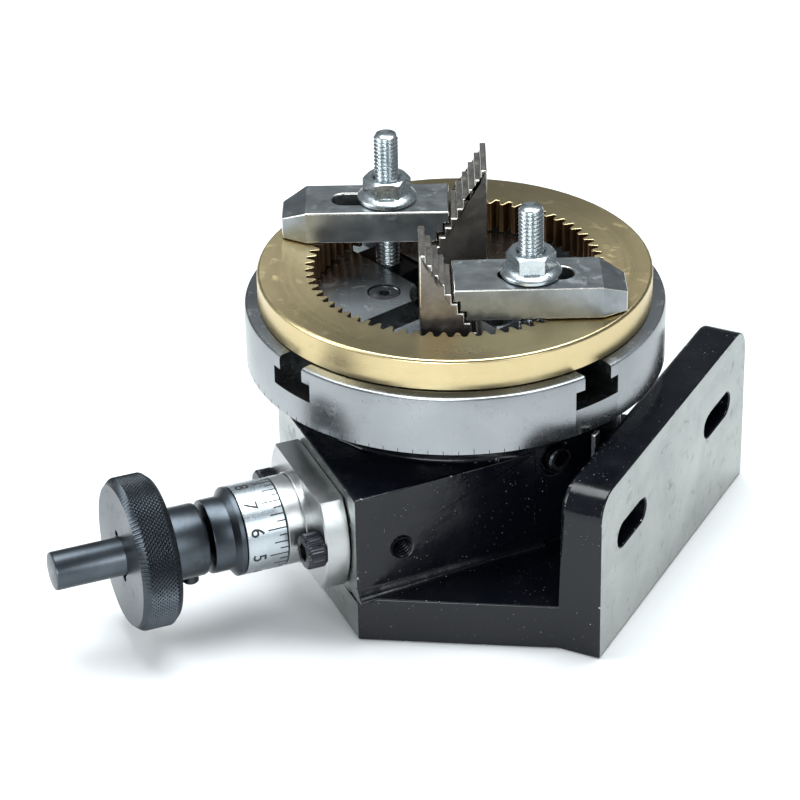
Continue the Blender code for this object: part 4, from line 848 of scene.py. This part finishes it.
def sleeve_plate():
    low, end = span_along("worm_sleeve", WORM)
    inner, outer = WORM_FACE + PLATE_FROM, WORM_FACE + PLATE_TO
    radius, flat, edge, core = PLATE_RADIUS, PLATE_FLAT, 0.35 * MM, SLEEVE_RADIUS
    plate = turned("worm_sleeve_plate", [
        (0.0, inner), (radius - edge, inner), (radius, inner + edge), (radius, outer - edge),
        (radius - edge, outer), (0.0, outer)], 192)
    past = radius + 11.4 * MM
    boolean(plate, upright_box("flats", (-past, -flat, inner - 1.0 * MM), (past, flat, outer + 1.0 * MM)),
            "INTERSECT")
    boss, groove, undercut = outer + 1.8 * MM, outer + 2.15 * MM, core - 0.35 * MM
    boolean(plate, turned("nose", [
        (0.0, low), (core, low), (core, inner + 1.0 * MM), (COLLAR_ROUND, inner + 2.0 * MM),
        (COLLAR_ROUND, boss - 0.15 * MM), (COLLAR_ROUND - 0.15 * MM, boss), (undercut, boss),
        (undercut, groove), (core - 0.1 * MM, groove), (core, groove + 0.1 * MM),
        (core, end - 0.12 * MM), (core - 0.12 * MM, end), (0.0, end)], 192), "UNION")
    boolean(plate, turned("bore", [
        (0.0, low - 1.0 * MM), (BUSH_SEAT, low - 1.0 * MM), (BUSH_SEAT, BORE_FROM),
        (SHAFT_BORE, BORE_FROM), (SHAFT_BORE, BORE_TO), (BUSH_SEAT, BORE_TO), (BUSH_SEAT, end + 1.0 * MM),
        (0.0, end + 1.0 * MM)], 64), "DIFFERENCE")
    for side in (-SCREW_REACH, SCREW_REACH):
        hole = turned("hole", rod(SCREW_HOLE, inner - 1.0 * MM, outer + 1.0 * MM), 32)
        hole.data.transform(Matrix.Translation((side, 0.0, 0.0)))
        boolean(plate, hole, "DIFFERENCE")
    install(plate, WORM, "worm_sleeve", sleeve_steel)


sleeve_plate()

# %% [markdown]
# ## The worm's shaft and the dial's collar
# The collar is pressed on the shaft and carries the dial.  Both are turned and blackened.

# %% Shaft and collar
SHAFT_SHOULDER = 17.2 * MM
SHAFT_RADIUS = 4.5 * MM
HUB_BORE = 4.62 * MM
DIAL_LOW, DIAL_HIGH = span_along("dial_ring", WORM)


def outer_shaft():
    """The worm itself stays as it is in the frame; the shaft outside it is turned again, rounder."""
    end = span_along("worm_shaft", WORM)[1]
    shoulder, radius, edge = SHAFT_SHOULDER, SHAFT_RADIUS, 0.5 * MM
    builder = bmesh.new()
    worm = frame["nodes"]["worm_shaft"].data.copy()
    worm.transform(WORM.inverted())
    builder.from_mesh(worm)
    bmesh.ops.remove_doubles(builder, verts=builder.verts, dist=WELD_WITHIN)
    bmesh.ops.bisect_plane(builder, geom=builder.verts[:] + builder.edges[:] + builder.faces[:],
                           plane_co=(0.0, 0.0, shoulder - 0.1 * MM), plane_no=(0.0, 0.0, 1.0),
                           clear_outer=True)
    bmesh.ops.edgeloop_fill(builder, edges=[rim for rim in builder.edges if rim.is_boundary])
    shaft = blank_mesh("shaft", [
        (0.0, shoulder), (5.6 * MM, shoulder), (radius, shoulder + 0.02 * MM), (radius, end - edge),
        (radius - edge * 0.3, end - edge * 0.3), (radius - edge, end), (0.0, end)], 96)
    builder.from_mesh(shaft)
    for spare in (worm, shaft):
        bpy.data.meshes.remove(spare)
    install(new_object("worm_and_shaft", kept(builder, "worm_shaft")), WORM, "worm_shaft", blackened)


def collar():
    low, end = span_along("dial_carrier", WORM)
    rim = DIAL_HIGH + 0.3 * MM
    radius, hub, spigot = reach_around("dial_carrier", WORM), 8.7 * MM, 7.0 * MM
    install(turned("collar", [
        (HUB_BORE, low), (spigot, low), (spigot, rim), (radius - 0.1 * MM, rim), (radius, rim + 0.1 * MM),
        (radius, rim + 1.05 * MM), (radius - 0.1 * MM, rim + 1.2 * MM), (hub + 0.1 * MM, rim + 2.3 * MM),
        (hub, rim + 2.45 * MM), (hub, end - 0.5 * MM), (hub - 0.1 * MM, end - 0.2 * MM),
        (hub - 0.5 * MM, end), (HUB_BORE, end)], 128), WORM, "dial_carrier", blackened)


outer_shaft()
collar()

# %% [markdown]
# ## Socket cap screws
# The head of a cap screw is fluted for the fingers and has a hexagon socket.  The flutes run along
# the head, so the relief tree gets no lean and only one family of grooves.

# %% Cap screws of the worm plate
def cap_screw(label):
    node = "plate_screw_" + label
    low, high = span_along(node, WORM)
    centre = WORM.inverted() @ node_middle(node)
    head, head_height, shank = 4.2 * MM, 4.3 * MM, 2.4 * MM
    seat = high - head_height
    heights = steps(seat + 0.3 * MM, high - 0.55 * MM, 0.6 * MM)
    profile = [(0.0, low), (shank, low), (shank, seat), (head - 0.2 * MM, seat)]
    profile += [(head, height) for height in heights]
    profile += [(head - 0.45 * MM, high), (0.0, high)]
    screw = turned("cap_screw_" + label, profile, 180)
    relief(screw, radius_from=head * 0.97, low=seat, high=high, grooves=36.0, depth=0.28 * MM,
           finish=black_screws)
    boolean(screw, hexagon(4.0 * MM, high - 2.6 * MM, high + 1.0 * MM, "socket"), "DIFFERENCE")
    install(screw, WORM @ Matrix.Translation((centre.x, 0.0, 0.0)), node, black_screws)


cap_screw("left")
cap_screw("right")

# %% [markdown]
# ## The handwheel
# A diamond knurl is two families of grooves that cross.  The rim of the blank has several rows
# and columns for each diamond, so that the crossing grooves leave small pyramids.

# %% Knurled handwheel
KNURL_ROUND = 108
KNURL_DEPTH = 0.38 * MM
KNURL_SAMPLES = 6
WHEEL_WIDTH = 9.5 * MM
NOTCH_RADIUS = 1.2 * MM
NOTCH_DEPTH = 4.5 * MM
NOTCH_PLACE = (-2.1 * MM, 4.4 * MM)


def knurled_handwheel():
    low, high = span_along("handwheel", WORM)
    rim = reach_around("handwheel", WORM)
    rear = high - WHEEL_WIDTH
    bore, hub, chamfer = HUB_BORE, 8.5 * MM, 1.4 * MM
    row = 2.0 * math.pi * rim / KNURL_ROUND / KNURL_SAMPLES
    first_row, last_row = math.ceil((rear + chamfer) / row), math.floor((high - chamfer) / row)
    heights = [row * index for index in range(first_row, last_row + 1)]
    profile = [(bore, low), (hub - 0.9 * MM, low), (hub - 0.3 * MM, low + 0.3 * MM), (hub, low + 1.0 * MM),
               (hub, rear - 0.5 * MM), (hub + 0.5 * MM, rear), (rim - chamfer - 0.1 * MM, rear),
               (rim - chamfer, rear + 0.08 * MM)]
    profile += [(rim, height) for height in heights]
    profile += [(rim - chamfer, high - 0.08 * MM), (rim - chamfer - 0.1 * MM, high), (bore + 0.3 * MM, high),
                (bore, high - 0.3 * MM)]
    wheel = turned("knurled_handwheel", profile, KNURL_ROUND * KNURL_SAMPLES)
    relief(wheel, radius_from=rim * 0.97, low=rear, high=high, grooves=float(KNURL_ROUND),
           lean=KNURL_ROUND / (2.0 * math.pi * rim), crossed=1.0, depth=KNURL_DEPTH, finish=blackened)
    for side in (-1.0, 1.0):
        profile = rod(NOTCH_RADIUS, high - NOTCH_DEPTH, high + 1.0 * MM)
        notch = turned("notch", profile, 24)
        notch.data.transform(Matrix.Translation((side * NOTCH_PLACE[0], side * NOTCH_PLACE[1], 0.0)))
        boolean(wheel, notch, "DIFFERENCE")
    install(wheel, WORM, "handwheel", blackened)


knurled_handwheel()

# %% [markdown]
# ## Graduations
# Marks around a ring differ only in length.  A Geometry Nodes tree puts one thin bar at each
# division and picks a long, a medium or a short bar from its index.

# %% A Geometry Nodes tree for a ring of marks
def marks_tree():
    tree, given = new_tree("Ring of marks", ("Count", "Long every", "Medium every"),
                           ("Radius", "Start", "Long", "Medium", "Short", "Width", "Height"))
    line = add(tree, "GeometryNodeMeshLine", {"Count": given["Count"]})
    index = add(tree, "GeometryNodeInputIndex").outputs[0]
    angle = calc(tree, "MULTIPLY", calc(tree, "DIVIDE", index, given["Count"]), 2.0 * math.pi)
    is_long = calc(tree, "LESS_THAN", calc(tree, "MODULO", index, given["Long every"]), 0.5)
    is_medium = calc(tree, "LESS_THAN", calc(tree, "MODULO", index, given["Medium every"]), 0.5)
    length = add(tree, "ShaderNodeMix", (is_medium, None, given["Short"], given["Medium"]), data_type="FLOAT")
    length = add(tree, "ShaderNodeMix", (is_long, None, length.outputs[0], given["Long"]), data_type="FLOAT")
    length = length.outputs[0]
    middle = calc(tree, "MULTIPLY_ADD", length, 0.5, given["Start"])
    place = add(tree, "ShaderNodeCombineXYZ",
                (calc(tree, "MULTIPLY", calc(tree, "COSINE", angle), given["Radius"]),
                 calc(tree, "MULTIPLY", calc(tree, "SINE", angle), given["Radius"]), middle))
    points = add(tree, "GeometryNodeSetPosition", {"Geometry": line.outputs[0],
                                                   "Position": place.outputs[0]})
    bar = add(tree, "GeometryNodeMeshCube", {"Size": (1.0, 1.0, 1.0)})
    turn = add(tree, "ShaderNodeCombineXYZ", (0.0, 0.0, angle)).outputs[0]
    size = add(tree, "ShaderNodeCombineXYZ", (given["Height"], given["Width"], length)).outputs[0]
    bars = add(tree, "GeometryNodeInstanceOnPoints", {"Points": points.outputs[0], "Instance": bar.outputs[0],
                                                      "Rotation": turn, "Scale": size})
    return close_tree(tree, given, bars)


RING_OF_MARKS = marks_tree()


def graduations(name, matrix, node, **values):
    """A ring of engraved marks that rides with a node's body."""
    item = new_object(name, bpy.data.meshes.new(name))
    run_tree(item, RING_OF_MARKS, values)
    item.data.transform(matrix)
    place_on_body(item, node)
    print(name, "has", len(item.data.polygons) // 6, "marks")
    return item


print("tree for marks has", len(RING_OF_MARKS.nodes), "nodes")

# %% [markdown]
# ## The dial
# The dial has ten numbers and four divisions to each.  The numbers are plain text made into a mesh
# and sliced into narrow strips.  Turning each point's X into an angle then wraps them around the
# ring, and the strips keep them on its surface all the way.

# %% Dial ring with marks and numbers
DIAL_RADIUS = reach_around("dial_ring", WORM)
DIAL_BORE = 7.6 * MM
NUMBER_SIZE = 4.5 * MM
NUMBER_PLACE = 7.2 * MM
NUMBER_STRIP = 0.3 * MM
INDEX_ANGLE = math.radians(-12.5)


def dial_ring():
    edge = 0.12 * MM
    profile = [(DIAL_BORE, DIAL_LOW), (DIAL_RADIUS - edge, DIAL_LOW), (DIAL_RADIUS, DIAL_LOW + edge),
               (DIAL_RADIUS, DIAL_HIGH - edge), (DIAL_RADIUS - edge, DIAL_HIGH), (DIAL_BORE, DIAL_HIGH)]
    install(turned("graduated_ring", profile, 160), WORM, "dial_ring", satin_chrome)


def wrapped_number(digit, angle, middle, size):
    """One engraved number on the dial; its top points to the worm plate."""
    text = bpy.data.curves.new("number", "FONT")
    text.body = str(digit)
    text.size = size
    text.align_x = "CENTER"
    text.align_y = "CENTER"
    text.extrude = 0.02 * MM
    text.offset = 0.05 * MM
    holder = bpy.data.objects.new("number", text)
    bpy.context.collection.objects.link(holder)
    bpy.context.view_layer.update()
    mesh = bpy.data.meshes.new_from_object(holder.evaluated_get(bpy.context.evaluated_depsgraph_get()))
    bpy.data.objects.remove(holder, do_unlink=True)
    builder = bmesh.new()
    builder.from_mesh(mesh)
    for cut in steps(-size / 2.0, size / 2.0, NUMBER_STRIP):
        everything = builder.verts[:] + builder.edges[:] + builder.faces[:]
        bmesh.ops.bisect_plane(builder, geom=everything, plane_co=(cut, 0.0, 0.0),
                               plane_no=(1.0, 0.0, 0.0))
    builder.to_mesh(mesh)
    builder.free()
    for vertex in mesh.vertices:
        around = angle - vertex.co.x / DIAL_RADIUS
        radius = DIAL_RADIUS + vertex.co.z
        vertex.co = (radius * math.cos(around), radius * math.sin(around), middle - vertex.co.y)
    return mesh


def dial_numbers():
    builder = bmesh.new()
    for digit in range(10):
        angle = INDEX_ANGLE + 2.0 * math.pi * (digit - 5) / 10.0
        mesh = wrapped_number(digit, angle, DIAL_LOW + NUMBER_PLACE, NUMBER_SIZE)
        builder.from_mesh(mesh)
        bpy.data.meshes.remove(mesh)
    mesh = kept(builder, "dial_numbers")
    numbers = new_object("dial_numbers", mesh, engraving)
    numbers.data.transform(WORM)
    place_on_body(numbers, "dial_ring")
    print("dial numbers have", len(mesh.polygons), "faces")


dial_ring()
dial_numbers()
graduations("dial_marks", WORM @ Matrix.Rotation(INDEX_ANGLE, 4, "Z"), "dial_ring", count=40, long_every=4,
            medium_every=2, radius=DIAL_RADIUS, start=DIAL_LOW + 0.1 * MM, long=4.4 * MM, medium=3.2 * MM,
            short=1.9 * MM, width=0.30 * MM, height=0.05 * MM, finish=engraving)
SLEEVE_END = span_along("worm_sleeve", WORM)[1]
graduations("zero_mark", WORM @ Matrix.Rotation(INDEX_ANGLE, 4, "Z"), "worm_sleeve", count=1, long_every=1,
            medium_every=1, radius=SLEEVE_RADIUS, start=SLEEVE_END - 2.9 * MM, long=1.3 * MM, medium=0.0,
            short=0.0, width=0.25 * MM, height=0.05 * MM, finish=engraving)

# %% [markdown]
# ## Degree marks on the table
# The table's rim has a mark every four degrees along its lower edge.

# %% Rim marks
TABLE_RADIUS = reach_around("table_disc", TABLE)
TABLE_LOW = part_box("table_disc")[0][2]
graduations("table_marks", TABLE, "table_disc", count=90, long_every=9, medium_every=3, radius=TABLE_RADIUS,
            start=TABLE_LOW + 0.45 * MM, long=1.5 * MM, medium=0.9 * MM, short=0.9 * MM, width=0.15 * MM,
            height=0.04 * MM, finish=engraving)

# %% [markdown]
# ## Floor and light
# The object stands on a plain pale floor.  A wide light overhead gives the metal long, calm
# reflections, three smaller ones shape its sides, and a dim sky fills the shadows.

# %% Studio
FLOOR_REACH = 6.0
FLOOR_HEIGHT = -0.2 * MM
LIGHT_COLOUR = (0.93, 0.98, 1.0)
SKY_COLOUR = (0.84, 0.93, 1.0, 1.0)


def studio_floor():
    mesh = bpy.data.meshes.new("floor")
    corners = ((-1, -1), (1, -1), (1, 1), (-1, 1))
    mesh.from_pydata([(x * FLOOR_REACH, y * FLOOR_REACH, FLOOR_HEIGHT) for x, y in corners], [],
                     [(0, 1, 2, 3)])
    new_object("studio_floor", mesh, new_finish("pale_floor", (0.86, 0.86, 0.86), 0.6, 0.0)[0])


def soft_light(name, place, target, width, height, power):
    light = bpy.data.lights.new(name, "AREA")
    light.shape = "RECTANGLE"
    light.size = width
    light.size_y = height
    light.energy = power
    light.color = LIGHT_COLOUR
    item = bpy.data.objects.new(name, light)
    bpy.context.collection.objects.link(item)
    item.location = place
    item.rotation_euler = (Vector(target) - Vector(place)).to_track_quat("-Z", "Y").to_euler()
    print(name, "light,", power, "W")


def sky(strength):
    world = bpy.data.worlds.new("studio")
    world.use_nodes = True
    background = world.node_tree.nodes["Background"]
    background.inputs["Color"].default_value = SKY_COLOUR
    background.inputs["Strength"].default_value = strength
    bpy.context.scene.world = world


studio_floor()
sky(0.20)
MIDDLE = (0.0, 0.0, 0.04)
soft_light("overhead", (-0.05, 0.25, 1.20), MIDDLE, 1.1, 0.8, 22.5)
soft_light("right_front", (0.80, -0.40, 0.45), MIDDLE, 0.25, 0.60, 2.0)
soft_light("left_front", (-0.75, -0.45, 0.55), MIDDLE, 0.45, 0.60, 6.0)
soft_light("front", (0.20, -0.95, 0.34), MIDDLE, 0.5, 0.30, 5.0)
bpy.context.scene.view_settings.view_transform = "Standard"

# %% [markdown]
# ## Camera
# A long lens from above and to the right shows the table's top, the dial and the flange at once.

# %% Camera
CAMERA_AZIMUTH = math.radians(26.436)
CAMERA_ELEVATION = math.radians(30.048)
CAMERA_ROLL = -0.018625
CAMERA_PLACE = (0.29421, -0.61859, 0.42698)
CAMERA_LENS = 147.27
CAMERA_SHIFT = (-0.0082, 0.0023)


def camera():
    lens = bpy.data.cameras.new("camera")
    lens.sensor_width = 36.0
    lens.lens = CAMERA_LENS
    lens.shift_x, lens.shift_y = CAMERA_SHIFT
    item = bpy.data.objects.new("camera", lens)
    bpy.context.collection.objects.link(item)
    back = Vector((math.sin(CAMERA_AZIMUTH) * math.cos(CAMERA_ELEVATION),
                   -math.cos(CAMERA_AZIMUTH) * math.cos(CAMERA_ELEVATION), math.sin(CAMERA_ELEVATION)))
    turn = (-back).to_track_quat("-Z", "Y").to_matrix() @ Matrix.Rotation(CAMERA_ROLL, 3, "Z")
    item.matrix_world = Matrix.Translation(CAMERA_PLACE) @ turn.to_4x4()
    bpy.context.scene.camera = item
    print("camera stands", round(Vector(CAMERA_PLACE).length, 2), "m away")


camera()
